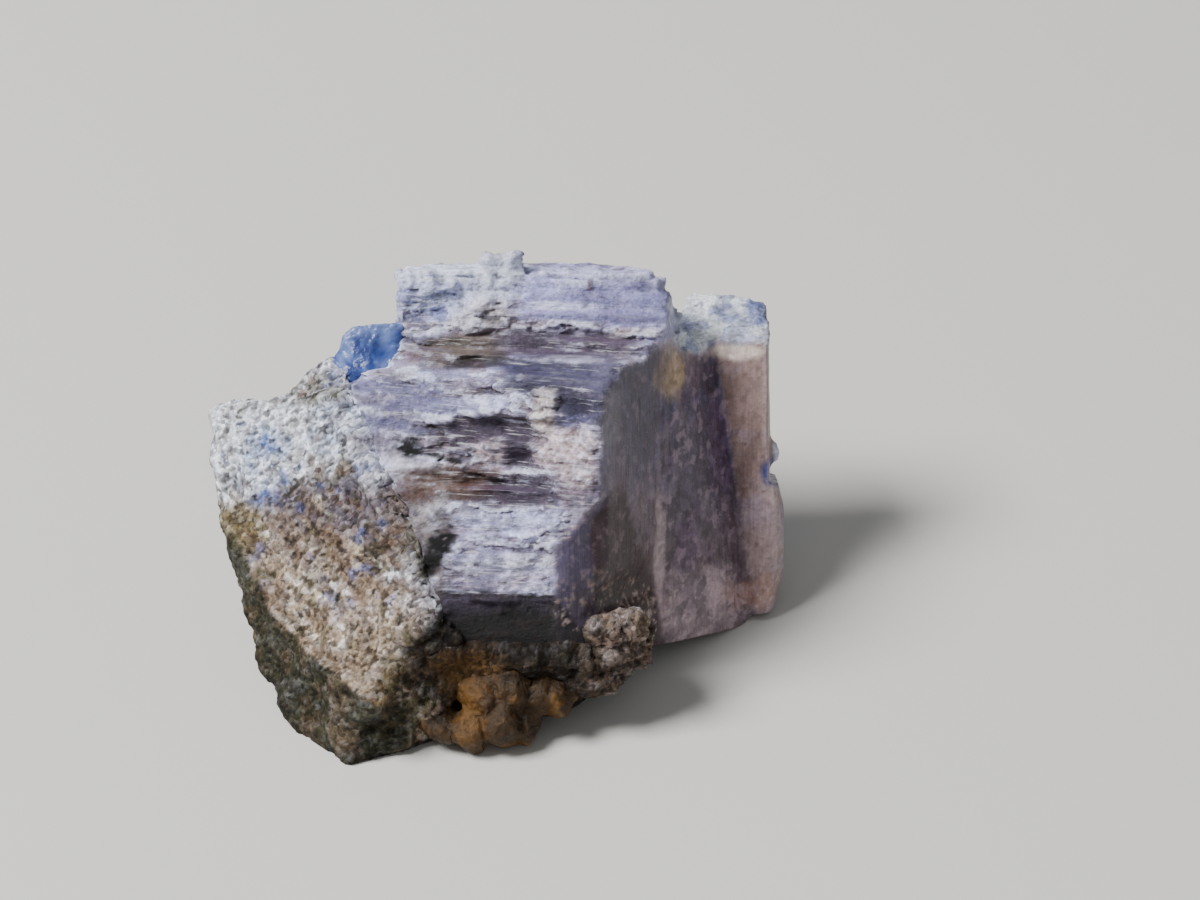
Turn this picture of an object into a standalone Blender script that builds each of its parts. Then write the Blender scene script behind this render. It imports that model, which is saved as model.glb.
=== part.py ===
# A carletonite crystal group on its rock: a terraced violet crystal with two crystals grown to its right,
# a granular rock on the left and underneath, one blue crystal and a cluster of honey-brown crystals.
# Design values are millimetres. Crystal points are (across, forward, up) along the leaning crystal axis.

import math
import random

import bmesh
import bpy
from mathutils import Vector, noise

# Frame of the crystals
mm = 0.001
axisLean = math.radians(25.0)
crystalCentre = Vector((0.0, 0.0, 8.0))
acrossAxis = Vector((1.0, 0.0, 0.0))
forwardAxis = Vector((0.0, -math.cos(axisLean), math.sin(axisLean)))
upAxis = Vector((0.0, math.sin(axisLean), math.cos(axisLean)))

# Gap between neighbouring pieces
pieceGap = 0.3

# Terraced crystal: its broken front steps back as it rises
frontRows = (
    # height, left end (across, forward), right end (across, forward), rear right corner across
    (-4.2, (-2.5, 3.2), (3.2, 3.4), 9.0),
    (-3.2, (-2.7, 3.2), (3.6, 3.5), 9.0),
    (-1.0, (-3.3, 2.2), (5.0, 3.4), 9.0),
    (1.0, (-4.4, 0.7), (5.0, 3.3), 9.0),
    (3.0, (-5.5, -1.3), (5.0, 3.2), 9.0),
    (5.0, (-6.5, -3.0), (5.0, 3.1), 9.0),
    (5.5, (-6.6, -3.6), (5.1, 2.9), 9.0),
    (6.0, (-4.5, -3.0), (5.3, 2.4), 9.0),
    (6.5, (-4.4, -3.5), (5.7, 1.2), 9.0),
    (7.0, (-4.4, -3.9), (7.0, -0.9), 8.6),
    (7.6, (-4.4, -4.1), (7.5, -1.9), 7.9),
    (9.0, (-4.4, -4.3), (7.3, -3.4), 7.7),
    (9.4, (-4.3, -4.4), (6.8, -3.7), 7.2),
    (9.9, (-3.9, -4.5), (6.5, -3.9), 6.6),
)
terraceBottom = -4.2
terraceTop = 9.9
terraceThinnest = 0.3
terraceThickest = 0.66
terraceOverlap = 0.06
terraceStep = 0.2
terraceJag = 0.42
frontSteps = 11
rearForward = -8.3
terraceSeed = 7

# Hollows in the broken front: lowest and highest, left and right end as a share of the front, depth
frontHollows = (
    (1.1, 3.1, 0.22, 0.73, 0.75),
    (3.3, 4.2, 0.50, 0.76, 0.45),
    (6.4, 7.3, 0.30, 0.86, 0.45),
    (8.0, 8.7, 0.02, 0.22, 0.55),
)
hollowEdge = 0.05

# Dark prism face: the flat side that cuts the terraces off on the right
prismEdge = (4.35, 3.2)
prismTurn = math.radians(62.0)

# Noise that makes the broken surfaces, and the fineness of the rock
rockGrain = 0.62
rockRoughness = 0.5
rockTriangles = 2600
fineVoxel = 0.3
coarseVoxel = 0.5
honeySeed = 3


def inWorld(across, forward, up):
    return crystalCentre + acrossAxis * across + forwardAxis * forward + upAxis * up


def makeMaterial(name, colour, roughness):
    material = bpy.data.materials.new(name)
    material.use_nodes = True
    shader = material.node_tree.nodes["Principled BSDF"]
    shader.inputs["Base Color"].default_value = (*colour, 1.0)
    shader.inputs["Roughness"].default_value = roughness
    shader.inputs["Metallic"].default_value = 0.0
    return material


def makeObject(name, mesh, collection):
    obj = bpy.data.objects.new(name, mesh)
    collection.objects.link(obj)
    return obj


def hullObject(name, points, collection):
    # A convex block around the given points, in metres
    shape = bmesh.new()
    for point in points:
        shape.verts.new(Vector(point) * mm)
    bmesh.ops.convex_hull(shape, input=shape.verts)
    loose = [v for v in shape.verts if not v.link_faces]
    bmesh.ops.delete(shape, geom=loose, context="VERTS")
    bmesh.ops.recalc_face_normals(shape, faces=shape.faces)
    mesh = bpy.data.meshes.new(name)
    shape.to_mesh(mesh)
    shape.free()
    return makeObject(name, mesh, collection)


def plateObject(name, outline, low, high, collection):
    # An outline in the across-forward plane, pushed up the crystal axis from low to high
    shape = bmesh.new()
    corners = [shape.verts.new(inWorld(across, forward, low) * mm) for across, forward in outline]
    shape.faces.new(corners)
    pushed = bmesh.ops.extrude_face_region(shape, geom=shape.faces[:])["geom"]
    raised = [item for item in pushed if isinstance(item, bmesh.types.BMVert)]
    bmesh.ops.translate(shape, verts=raised, vec=upAxis * (high - low) * mm)
    bmesh.ops.recalc_face_normals(shape, faces=shape.faces)
    mesh = bpy.data.meshes.new(name)
    shape.to_mesh(mesh)
    shape.free()
    return makeObject(name, mesh, collection)


def evaluatedMesh(obj):
    depsgraph = bpy.context.evaluated_depsgraph_get()
    depsgraph.update()
    return bpy.data.meshes.new_from_object(obj.evaluated_get(depsgraph))


def applyModifiers(obj):
    mesh = evaluatedMesh(obj)
    obj.modifiers.clear()
    obj.data = mesh
    return obj


def combine(obj, others, operation):
    # Joins or cuts obj with each of the others in turn, and removes them
    for other in others:
        boolean = obj.modifiers.new(operation.lower(), "BOOLEAN")
        boolean.operation = operation
        boolean.solver = "EXACT"
        boolean.object = other
        applyModifiers(obj)
        bpy.data.objects.remove(other)
    return obj


def sliceOff(obj, point, normal):
    # Keeps the side that the normal points away from, and closes the cut
    shape = bmesh.new()
    shape.from_mesh(obj.data)
    everything = shape.verts[:] + shape.edges[:] + shape.faces[:]
    cut = bmesh.ops.bisect_plane(
        shape, geom=everything, dist=1e-7, plane_co=Vector(point) * mm, plane_no=normal, clear_outer=True
    )["geom_cut"]
    rim = [item for item in cut if isinstance(item, bmesh.types.BMEdge)]
    bmesh.ops.contextual_create(shape, geom=rim)
    bmesh.ops.recalc_face_normals(shape, faces=shape.faces)
    shape.to_mesh(obj.data)
    shape.free()
    return obj


def keepLargest(obj):
    # Drops the chips that a cut leaves loose, so that one closed body stays
    shape = bmesh.new()
    shape.from_mesh(obj.data)
    waiting = set(shape.faces)
    groups = []
    while waiting:
        border = [waiting.pop()]
        group = set(border)
        while border:
            near = {face for edge in border.pop().edges for face in edge.link_faces} & waiting
            waiting -= near
            group |= near
            border += near
        groups.append(group)
    groups.sort(key=len, reverse=True)
    loose = [face for group in groups[1:] for face in group]
    bmesh.ops.delete(shape, geom=loose, context="FACES")
    shape.to_mesh(obj.data)
    shape.free()
    return obj


def frontEnds(height):
    # Left and right end of the broken front at this height, between the rows above
    for (low, *lowRow), (high, *highRow) in zip(frontRows, frontRows[1:]):
        if height <= high:
            part = max(0.0, (height - low) / (high - low))
            left = Vector(lowRow[0]).lerp(Vector(highRow[0]), part)
            right = Vector(lowRow[1]).lerp(Vector(highRow[1]), part)
            return left, right, lowRow[2] + (highRow[2] - lowRow[2]) * part
    return Vector(frontRows[-1][1]), Vector(frontRows[-1][2]), frontRows[-1][3]


def hollowDepth(part, height):
    depth = 0.0
    for low, high, leftEnd, rightEnd, deep in frontHollows:
        if low <= height <= high:
            inside = min(part - leftEnd, rightEnd - part) / hollowEdge
            depth = max(depth, deep * min(1.0, max(0.0, inside)))
    return depth


def terraceOutline(height, step):
    left, right, rearRight = frontEnds(height)
    outline = []
    for place in range(frontSteps + 1):
        part = place / frontSteps
        point = left.lerp(right, part)
        jag = noise.noise(Vector((part * 4.3, height * 1.9, 2.0))) * terraceJag
        edge = noise.noise(Vector((part * 13.0, height * 7.0, 9.0))) * terraceJag * 0.45
        outline.append((point.x, point.y + step + jag + edge - hollowDepth(part, height)))
    wobble = noise.noise(Vector((height * 1.7, 4.0, 4.0))) * 0.25
    topSlope = max(0.0, height - 6.5) * 0.45
    outline.append((rearRight, rearForward + 2.6 + topSlope + wobble))
    outline.append((5.0, rearForward + topSlope * 0.6 - wobble))
    outline.append((-1.5, rearForward + 0.5 + topSlope * 0.5 + wobble))
    outline.append((left.x - 0.1, rearForward + 1.5 + topSlope * 0.4 + wobble))
    return outline


def terracePlates(collection):
    rng = random.Random(terraceSeed)
    plates = []
    low = terraceBottom
    while low < terraceTop - 0.05:
        high = min(terraceTop, low + rng.uniform(terraceThinnest, terraceThickest))
        outline = terraceOutline((low + high) / 2, rng.uniform(-terraceStep, terraceStep))
        plates.append(plateObject("terrace", outline, low - terraceOverlap, high, collection))
        low = high
    return plates


def makeCrystal(collection, cutters):
    # Lower body of the terraced crystal, down to its dark root
    rootPoints = [
        inWorld(-2.5, 3.1, -4.1),
        inWorld(3.6, 3.5, -4.1),
        inWorld(5.0, 2.3, -4.1),
        inWorld(8.5, -5.7, -4.1),
        inWorld(5.0, -8.2, -4.1),
        inWorld(-2.6, -7.0, -4.1),
        inWorld(-2.2, 2.9, -5.2),
        inWorld(3.2, 3.2, -5.3),
        inWorld(5.2, 1.8, -5.6),
        inWorld(8.2, -5.0, -5.6),
        inWorld(4.0, -8.0, -5.0),
        inWorld(-2.0, -6.0, -5.0),
    ]
    body = hullObject("carletonite_crystal", rootPoints, collection)
    combine(body, terracePlates(cutters), "UNION")

    # Flat prism face on the right, and the facet under the corner of the broken front
    prismNormal = acrossAxis * math.sin(prismTurn) + forwardAxis * math.cos(prismTurn)
    sliceOff(body, inWorld(*prismEdge, 0.0), prismNormal)
    cornerCut = hullObject(
        "corner cut",
        [
            inWorld(2.1, 3.75, -0.8),
            inWorld(5.4, 1.95, 1.7),
            inWorld(5.8, 5.2, 1.9),
            inWorld(2.2, 5.6, -0.8),
            inWorld(2.1, 3.75, -7.0),
            inWorld(5.4, 1.95, -7.0),
            inWorld(5.8, 5.2, -7.0),
            inWorld(2.2, 5.6, -7.0),
        ],
        cutters,
    )
    combine(body, [cornerCut], "DIFFERENCE")

    # Knob on the crest, cream lump on the terraces and grainy lumps at the upper left
    knob = hullObject(
        "knob",
        [
            inWorld(-0.7, -4.3, 9.7),
            inWorld(1.3, -4.3, 9.7),
            inWorld(-0.5, -4.5, 10.6),
            inWorld(0.9, -4.5, 10.7),
            inWorld(1.1, -6.0, 9.7),
            inWorld(-0.6, -6.2, 9.7),
            inWorld(0.3, -5.5, 10.6),
        ],
        cutters,
    )
    combine(body, [knob], "UNION")
    return body


def makeSecondCrystal(collection):
    # Dark crystal grown against the prism face; its own prism side turns to the right too
    topCorners = [(5.6, -1.4), (7.0, -2.0), (7.4, -2.7), (9.6, -6.3), (10.0, -8.2), (6.0, -9.0), (4.5, -5.0)]
    footCorners = [(5.8, -1.3), (7.4, -2.0), (8.0, -2.7), (11.5, -6.2), (10.6, -8.2), (6.0, -8.6), (4.5, -5.0)]
    points = [inWorld(across, forward, 6.1 - 0.12 * forward) for across, forward in topCorners]
    points += [inWorld(across, forward, -6.4) for across, forward in footCorners]
    return hullObject("second", points, collection)


def makeEndColumn(collection):
    # Paler crystal at the right end: a narrow upper part with a grainy sloping top, and a wider foot
    topCorners = [(9.3, -6.3), (11.9, -5.4), (12.0, -6.2), (11.9, -8.2), (8.6, -8.8), (8.0, -6.9)]
    waistCorners = [(10.2, -6.3), (12.0, -5.3), (12.1, -6.2), (12.1, -8.6), (9.0, -9.0), (8.6, -7.2)]
    footTop = [(10.4, -6.3), (12.2, -5.3), (12.5, -6.0), (12.4, -8.4), (9.4, -9.0), (9.0, -7.2)]
    footWide = [(10.8, -6.2), (12.3, -5.2), (12.75, -6.0), (12.6, -8.4), (9.4, -9.0), (9.0, -7.2)]
    footLow = [(11.0, -6.0), (11.6, -5.3), (12.2, -6.0), (12.1, -8.0), (9.4, -8.6), (9.0, -7.0)]
    top = [inWorld(across, forward, 3.3 - 0.6 * forward) for across, forward in topCorners]
    waist = [inWorld(across, forward, 0.0) for across, forward in waistCorners]
    foot = [inWorld(across, forward, 0.2) for across, forward in footTop]
    foot += [inWorld(across, forward, -0.9) for across, forward in footWide]
    foot += [inWorld(across, forward, -3.6) for across, forward in footWide]
    foot += [inWorld(across, forward, -5.8) for across, forward in footLow]
    grain = [
        inWorld(11.6, -6.6, 2.6),
        inWorld(12.3, -6.2, 2.0),
        inWorld(12.6, -6.4, 1.6),
        inWorld(12.5, -6.2, 1.1),
        inWorld(12.5, -7.2, 1.5),
        inWorld(11.7, -5.9, 1.6),
        inWorld(11.7, -6.4, 0.7),
        inWorld(11.7, -7.4, 1.4),
    ]
    upper = hullObject("column", top + waist, collection)
    return combine(upper, [hullObject("foot", foot, collection), hullObject("grain", grain, collection)], "UNION")


def makeRock(collection, cutters):
    # Granular rock: a wedge at the left, and the mass under the crystals
    wedge = hullObject(
        "matrix_rock",
        [
            (-5.6, -6.8, 2.7),
            (-6.5, -7.7, -0.4),
            (-8.6, -5.8, -0.4),
            (-10.2, -2.9, 1.2),
            (-11.2, -0.9, 2.9),
            (-12.1, 1.5, 4.7),
            (-12.5, 3.6, 6.3),
            (-12.8, 5.9, 9.1),
            (-11.8, 6.2, 9.7),
            (-9.4, 5.9, 9.9),
            (-6.6, 4.8, 11.0),
            (-5.4, 2.4, 10.1),
            (-4.2, -0.3, 9.2),
            (-3.2, -2.4, 8.1),
            (-2.5, -4.5, 6.2),
            (-2.0, -6.0, 2.0),
            (-2.0, -5.6, -0.4),
            (-3.0, 7.6, 9.4),
            (-3.0, 9.0, 6.0),
            (-9.0, 9.0, 7.0),
            (-8.0, 7.0, -0.4),
            (-2.0, 8.0, -0.4),
        ],
        collection,
    )
    shoulder = hullObject(
        "shoulder",
        [
            (-9.3, 6.0, 9.7),
            (-8.8, 6.4, 10.6),
            (-8.0, 6.4, 11.1),
            (-7.2, 6.6, 11.7),
            (-6.2, 5.0, 11.2),
            (-8.4, 4.6, 9.4),
            (-4.6, 7.6, 10.6),
            (-6.4, 7.6, 11.4),
            (-8.6, 7.6, 9.4),
            (-4.6, 7.6, 8.0),
        ],
        cutters,
    )
    under = hullObject(
        "under",
        [
            (-4.0, -5.2, 5.6),
            (-3.0, -5.9, 0.6),
            (-3.0, -5.0, -0.4),
            (3.4, -5.3, 4.6),
            (3.2, -5.3, 1.6),
            (2.6, -3.6, -0.4),
            (5.2, -5.0, 2.6),
            (6.3, -4.0, 4.2),
            (6.2, -3.0, 3.2),
            (5.0, 0.0, -0.4),
            (6.4, -0.5, 4.0),
            (6.0, 5.5, 1.0),
            (4.0, 6.5, -0.4),
            (-4.0, 7.5, -0.4),
            (-4.0, 8.0, 5.0),
            (5.0, 6.0, 4.0),
        ],
        cutters,
    )
    crust = hullObject(
        "crust",
        [
            (3.0, -4.6, 5.6),
            (4.9, -4.7, 5.6),
            (6.3, -3.6, 5.4),
            (6.8, -3.5, 3.3),
            (5.8, -4.9, 3.0),
            (4.6, -5.7, 1.9),
            (3.2, -5.6, 2.2),
            (3.0, -2.0, 3.0),
            (5.5, -2.0, 3.0),
        ],
        cutters,
    )
    combine(wedge, [shoulder, under, crust], "UNION")
    roughen(wedge)
    return wedge


def evenMesh(obj, voxel):
    remesh = obj.modifiers.new("even mesh", "REMESH")
    remesh.mode = "VOXEL"
    remesh.voxel_size = voxel * mm
    return applyModifiers(obj)


def roughen(obj):
    # Fine even mesh, pushed in and out by grain-sized noise, then thinned to flat chips
    evenMesh(obj, fineVoxel)
    for vertex in obj.data.vertices:
        point = vertex.co / mm
        coarse = noise.noise(point * 0.55 + Vector((3.0, 1.0, 7.0)))
        grain = noise.noise(point / rockGrain + Vector((11.0, 5.0, 2.0)))
        vertex.co += vertex.normal * (coarse * 0.7 + grain * 0.35) * rockRoughness * mm
    decimate = obj.modifiers.new("flat chips", "DECIMATE")
    decimate.ratio = rockTriangles / (2.0 * len(obj.data.vertices))
    applyModifiers(obj)


def grownTogether(pieces, collection):
    # One cutter around all these pieces, grown outward to keep the gap to their neighbour
    shape = bmesh.new()
    for piece in pieces:
        copy = makeObject("grown", piece.data.copy(), collection)
        evenMesh(copy, fineVoxel)
        for vertex in copy.data.vertices:
            vertex.co += vertex.normal * (pieceGap + coarseVoxel * 0.25) * mm
        shape.from_mesh(copy.data)
        bpy.data.objects.remove(copy)
    mesh = bpy.data.meshes.new("grown pieces")
    shape.to_mesh(mesh)
    shape.free()
    return evenMesh(makeObject("grown pieces", mesh, collection), coarseVoxel)


def makeBlueCrystal(collection):
    # Vivid blue grain at the upper left, a short blunt crystal
    return hullObject(
        "blue_crystal",
        [
            inWorld(-7.1, -4.4, 6.2),
            inWorld(-6.9, -4.2, 7.1),
            inWorld(-6.2, -4.2, 7.6),
            inWorld(-4.7, -4.3, 7.7),
            inWorld(-4.75, -3.9, 5.7),
            inWorld(-5.6, -3.7, 5.4),
            inWorld(-6.8, -4.1, 5.5),
            inWorld(-6.6, -6.0, 7.0),
            inWorld(-4.8, -6.0, 7.2),
            inWorld(-4.8, -6.0, 5.8),
            inWorld(-6.8, -6.0, 5.8),
        ],
        collection,
    )


def makeHoneyCrystals(collection, cutters):
    # Rounded honey-brown crystals grown together under the front edge: (x, y, z, radius)
    lobes = (
        (-2.2, -6.1, 1.0, 0.75),
        (-1.1, -6.2, 0.95, 0.95),
        (0.3, -6.1, 1.2, 1.15),
        (1.1, -5.9, 1.0, 0.9),
        (2.6, -5.6, 1.9, 0.6),
        (-0.6, -5.6, 2.1, 0.9),
        (0.6, -5.5, 2.4, 0.8),
        (1.8, -5.5, 2.0, 0.75),
    )
    rng = random.Random(honeySeed)
    pieces = []
    for x, y, z, radius in lobes:
        shape = bmesh.new()
        bmesh.ops.create_icosphere(shape, subdivisions=2, radius=radius * mm)
        for vertex in shape.verts:
            vertex.co *= 1.0 + rng.uniform(-0.07, 0.07)
            vertex.co += Vector((x, y, z)) * mm
        mesh = bpy.data.meshes.new("honey_crystals")
        shape.to_mesh(mesh)
        shape.free()
        pieces.append(makeObject("lobe", mesh, cutters))
    cluster = pieces[0]
    cutters.objects.unlink(cluster)
    collection.objects.link(cluster)
    cluster.name = "honey_crystals"
    return combine(cluster, pieces[1:], "UNION")


def centreOnBase(pieces):
    # The origin is the middle of the whole, at the level it rests on
    places = [vertex.co for piece in pieces for vertex in piece.data.vertices]
    middleX = (min(place.x for place in places) + max(place.x for place in places)) / 2
    middleY = (min(place.y for place in places) + max(place.y for place in places)) / 2
    print("shift to the middle, mm:", round(-middleX / mm, 3), round(-middleY / mm, 3))
    for piece in pieces:
        for vertex in piece.data.vertices:
            vertex.co -= Vector((middleX, middleY, 0.0))


def main():
    for obj in list(bpy.data.objects):
        bpy.data.objects.remove(obj)
    specimen = bpy.data.collections.new("carletonite_specimen")
    cutters = bpy.data.collections.new("cutters")
    cutters.hide_render = True
    bpy.context.scene.collection.children.link(specimen)
    bpy.context.scene.collection.children.link(cutters)

    crystal = makeCrystal(specimen, cutters)
    combine(crystal, [makeSecondCrystal(cutters), makeEndColumn(cutters)], "UNION")
    blue = makeBlueCrystal(specimen)
    honey = makeHoneyCrystals(specimen, cutters)
    rock = makeRock(specimen, cutters)

    # Neighbours keep a narrow gap: the crystals are cut from the rock, and the grains from the crystals
    down = Vector((0.0, 0.0, -1.0))
    combine(crystal, [grownTogether((blue,), cutters)], "DIFFERENCE")
    combine(rock, [grownTogether((crystal, blue, honey), cutters)], "DIFFERENCE")
    keepLargest(rock)
    for piece in (crystal, rock, blue, honey):
        sliceOff(piece, (0.0, 0.0, 0.0), down)
    centreOnBase((crystal, rock, blue, honey))

    crystal.data.materials.append(makeMaterial("violet carletonite", (0.42, 0.38, 0.55), 0.45))
    rock.data.materials.append(makeMaterial("granular rock", (0.48, 0.46, 0.42), 0.9))
    blue.data.materials.append(makeMaterial("blue carletonite", (0.10, 0.22, 0.62), 0.25))
    honey.data.materials.append(makeMaterial("honey-brown crystal", (0.55, 0.33, 0.12), 0.35))


main()
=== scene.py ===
import math

import bpy
import numpy as np
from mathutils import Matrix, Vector
from mathutils.bvhtree import BVHTree


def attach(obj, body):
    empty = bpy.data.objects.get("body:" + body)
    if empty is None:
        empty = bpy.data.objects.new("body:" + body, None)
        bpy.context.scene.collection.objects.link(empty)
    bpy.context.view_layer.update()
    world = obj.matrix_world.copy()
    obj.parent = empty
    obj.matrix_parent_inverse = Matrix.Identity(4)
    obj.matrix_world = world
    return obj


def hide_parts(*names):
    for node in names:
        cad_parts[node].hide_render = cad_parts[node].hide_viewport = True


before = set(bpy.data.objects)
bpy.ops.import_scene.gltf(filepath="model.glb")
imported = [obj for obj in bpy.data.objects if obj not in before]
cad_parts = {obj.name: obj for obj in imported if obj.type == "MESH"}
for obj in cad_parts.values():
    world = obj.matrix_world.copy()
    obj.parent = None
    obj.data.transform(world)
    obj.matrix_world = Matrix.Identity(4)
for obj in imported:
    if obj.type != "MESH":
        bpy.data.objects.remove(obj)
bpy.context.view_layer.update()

mm = 0.001
brightness = np.array((0.3, 0.5, 0.2))  # how light a tint looks, by its red, green and blue

# The crystals lean back: their own axes, as seen from the front
crystalFrame = {
    "centre": Vector((0.000019, -0.00198, 0.008)),
    "lean": math.radians(25.0),
    "prismTurn": math.radians(62.0),  # how far the dark prism face is turned to the right
    "edgeForward": 3.2,  # behind this place, in mm, the dark faces run on to the right
    "edgeSlope": 0.5317,
    "secondEdge": 4.35,  # where the second crystal begins across, mm
    "columnEdge": 9.92,  # where the end column begins across, mm, at this level and with this slope
    "columnLevel": 3.9,
    "columnSlope": 0.152,
}
acrossAxis = np.array((1.0, 0.0, 0.0))
forwardAxis = np.array((0.0, -math.cos(crystalFrame["lean"]), math.sin(crystalFrame["lean"])))
upAxis = np.array((0.0, math.sin(crystalFrame["lean"]), math.cos(crystalFrame["lean"])))
prismNormal = math.sin(crystalFrame["prismTurn"]) * acrossAxis + math.cos(crystalFrame["prismTurn"]) * forwardAxis

# The view from the front, 35 degrees down; marks are placed by it, in pixels of a 1200 x 900 frame
frontView = {
    "elevation": math.radians(35.0),
    "distance": 0.200,
    "lens": 138.0,
    "sensor": 36.0,
    "aimAside": (0.004478, 0.002696),  # right and up from the centre
    "size": (1200, 900),
}
viewAhead = np.array((0.0, math.cos(frontView["elevation"]), -math.sin(frontView["elevation"])))
viewUp = np.array((0.0, math.sin(frontView["elevation"]), math.cos(frontView["elevation"])))
viewAim = np.array(crystalFrame["centre"]) + acrossAxis * frontView["aimAside"][0] + viewUp * frontView["aimAside"][1]
viewPlace = viewAim - viewAhead * frontView["distance"]


def deselectAll():
    if bpy.context.object and bpy.context.object.mode != "OBJECT":
        bpy.ops.object.mode_set(mode="OBJECT")
    bpy.ops.object.select_all(action="DESELECT")


def colour(red, green, blue):
    # Screen colour, 0 to 255, as the linear values that shaders use
    return np.array([((v / 255 + 0.055) / 1.055) ** 2.4 if v > 10 else v / 3294.6 for v in (red, green, blue)])


# Noise on arrays of points, the same each run
def hashed(cell, seed):
    x, y, z = (cell[..., i].astype(np.int64) for i in range(3))
    value = (x * 374761393 + y * 668265263 + z * 2147483647 + seed * 974634777) & 0x7FFFFFFF
    value = ((value ^ (value >> 13)) * 1274126177) & 0x7FFFFFFF
    value = ((value ^ (value >> 16)) * 668265263) & 0x7FFFFFFF
    return ((value ^ (value >> 11)) & 0xFFFFF) / float(0xFFFFF)


def softNoise(points, seed):
    # Smooth noise from -1 to 1
    low = np.floor(points)
    part = points - low
    part = part * part * (3.0 - 2.0 * part)
    total = np.zeros(len(points))
    for corner in range(8):
        step = np.array([(corner >> i) & 1 for i in range(3)], dtype=float)
        weight = np.prod(np.where(step > 0, part, 1.0 - part), axis=1)
        total += weight * hashed(low + step, seed)
    return total * 2.0 - 1.0


def layeredNoise(points, octaves, seed):
    total = np.zeros(len(points))
    size = 1.0
    reach = 0.0
    for octave in range(octaves):
        total += softNoise(points * (2.03 ** octave) + octave * 17.3, seed + octave) * size
        reach += size
        size *= 0.55
    return total / reach


def ridgedNoise(points, octaves, seed):
    # Sharp ridges with hollows between, about -1 to 1
    total = np.zeros(len(points))
    size = 1.0
    reach = 0.0
    for octave in range(octaves):
        total += (1.0 - 2.6 * np.abs(softNoise(points * (2.07 ** octave) + octave * 9.1, seed + octave))) * size
        reach += size
        size *= 0.55
    return total / reach


def grainNoise(points, seed):
    # Distance to the nearest grain's centre, and that grain's own random value
    low = np.floor(points)
    nearest = np.full(len(points), 9.0)
    value = np.zeros(len(points))
    for dx in (-1, 0, 1):
        for dy in (-1, 0, 1):
            for dz in (-1, 0, 1):
                cell = low + np.array((dx, dy, dz), dtype=float)
                spot = cell + np.stack([hashed(cell, seed + i) for i in range(3)], axis=1)
                away = np.linalg.norm(points - spot, axis=1)
                closer = away < nearest
                value = np.where(closer, hashed(cell, seed + 7), value)
                nearest = np.where(closer, away, nearest)
    return nearest, value


def ramp(values, low, high):
    part = np.clip((values - low) / (high - low), 0.0, 1.0)
    return part * part * (3.0 - 2.0 * part)


def mixed(first, second, share):
    share = share[:, None] if np.ndim(share) else share
    return first * (1.0 - share) + second * share


# Meshes as arrays
def pointsOf(obj):
    count = len(obj.data.vertices)
    places = np.empty(count * 3)
    obj.data.vertices.foreach_get("co", places)
    return places.reshape(-1, 3)


def normalsOf(obj):
    obj.data.update()
    normals = np.empty(len(obj.data.vertices) * 3)
    obj.data.vertices.foreach_get("normal", normals)
    return normals.reshape(-1, 3)


def setPoints(obj, places):
    obj.data.vertices.foreach_set("co", places.ravel())
    obj.data.update()


def neighbourMean(obj, values, rounds=1):
    # Each point's value averaged with its neighbours', used to smooth and to find edges and hollows
    edges = np.empty(len(obj.data.edges) * 2, dtype=np.int64)
    obj.data.edges.foreach_get("vertices", edges)
    edges = edges.reshape(-1, 2)
    count = np.bincount(edges.ravel(), minlength=len(values)).astype(float)
    for again in range(rounds):
        if values.ndim == 1:
            total = np.bincount(edges[:, 0], values[edges[:, 1]], len(values))
            total += np.bincount(edges[:, 1], values[edges[:, 0]], len(values))
            values = total / np.maximum(count, 1.0)
        else:
            values = np.stack([neighbourMean(obj, values[:, i]) for i in range(values.shape[1])], axis=1)
    return values


def edgeAmount(obj, places, normals, rounds):
    # Positive on ridges and edges, negative in hollows, in millimetres
    smooth = neighbourMean(obj, places, rounds)
    return np.einsum("ij,ij->i", places - smooth, normals) / mm


def crystalPlace(places):
    # Across, forward and up in the leaning crystal, in millimetres
    local = (places - np.array(crystalFrame["centre"])) / mm
    return local @ acrossAxis, local @ forwardAxis, local @ upAxis


def stretched(a, p, c, across, forward, up):
    # Places in the leaning crystal, stretched by a number along each axis, for noise
    return np.stack((a * across, p * forward, c * up), axis=1)


def facingView(normals, low, high):
    # 1 where the surface faces the front view, 0 where it is turned away
    return ramp(normals @ -viewAhead, low, high)


def seenAt(places):
    # Pixel of the front view where each point shows
    ray = places - viewPlace
    depth = ray @ viewAhead
    focal = frontView["lens"] / frontView["sensor"] * frontView["size"][0]
    x = frontView["size"][0] / 2 + focal * (ray @ acrossAxis) / depth
    y = frontView["size"][1] / 2 - focal * (ray @ viewUp) / depth
    return x, y


def patch(x, y, mark, ragged, power=2.0):
    # How far each point lies inside a mark with a ragged edge: an oval, or nearer to a box with a higher power
    turn = math.radians(mark.get("turn", 0.0))
    dx, dy = x - mark["at"][0], y - mark["at"][1]
    along = (dx * math.cos(turn) + dy * math.sin(turn)) / mark["size"][0]
    aside = (-dx * math.sin(turn) + dy * math.cos(turn)) / mark["size"][1]
    away = (np.abs(along) ** power + np.abs(aside) ** power) ** (1.0 / power) + ragged * mark.get("ragged", 0.35)
    soft = mark.get("soft", 0.35)
    return 1.0 - ramp(away, 1.0 - soft, 1.0 + soft)


def markAt(tint, at, size, amount, **more):
    # A mark's tint, its middle and half-size in pixels of the front view, its strength and other values by name
    return {"tint": tint, "at": at, "size": size, "amount": amount, **more}


def lineDistance(x, y, line):
    # Distance in pixels to a line of several points
    best = np.full(len(x), 1e9)
    for (x0, y0), (x1, y1) in zip(line[:-1], line[1:]):
        along = np.clip(((x - x0) * (x1 - x0) + (y - y0) * (y1 - y0)) / ((x1 - x0) ** 2 + (y1 - y0) ** 2), 0.0, 1.0)
        best = np.minimum(best, np.hypot(x - x0 - along * (x1 - x0), y - y0 - along * (y1 - y0)))
    return best


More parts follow.
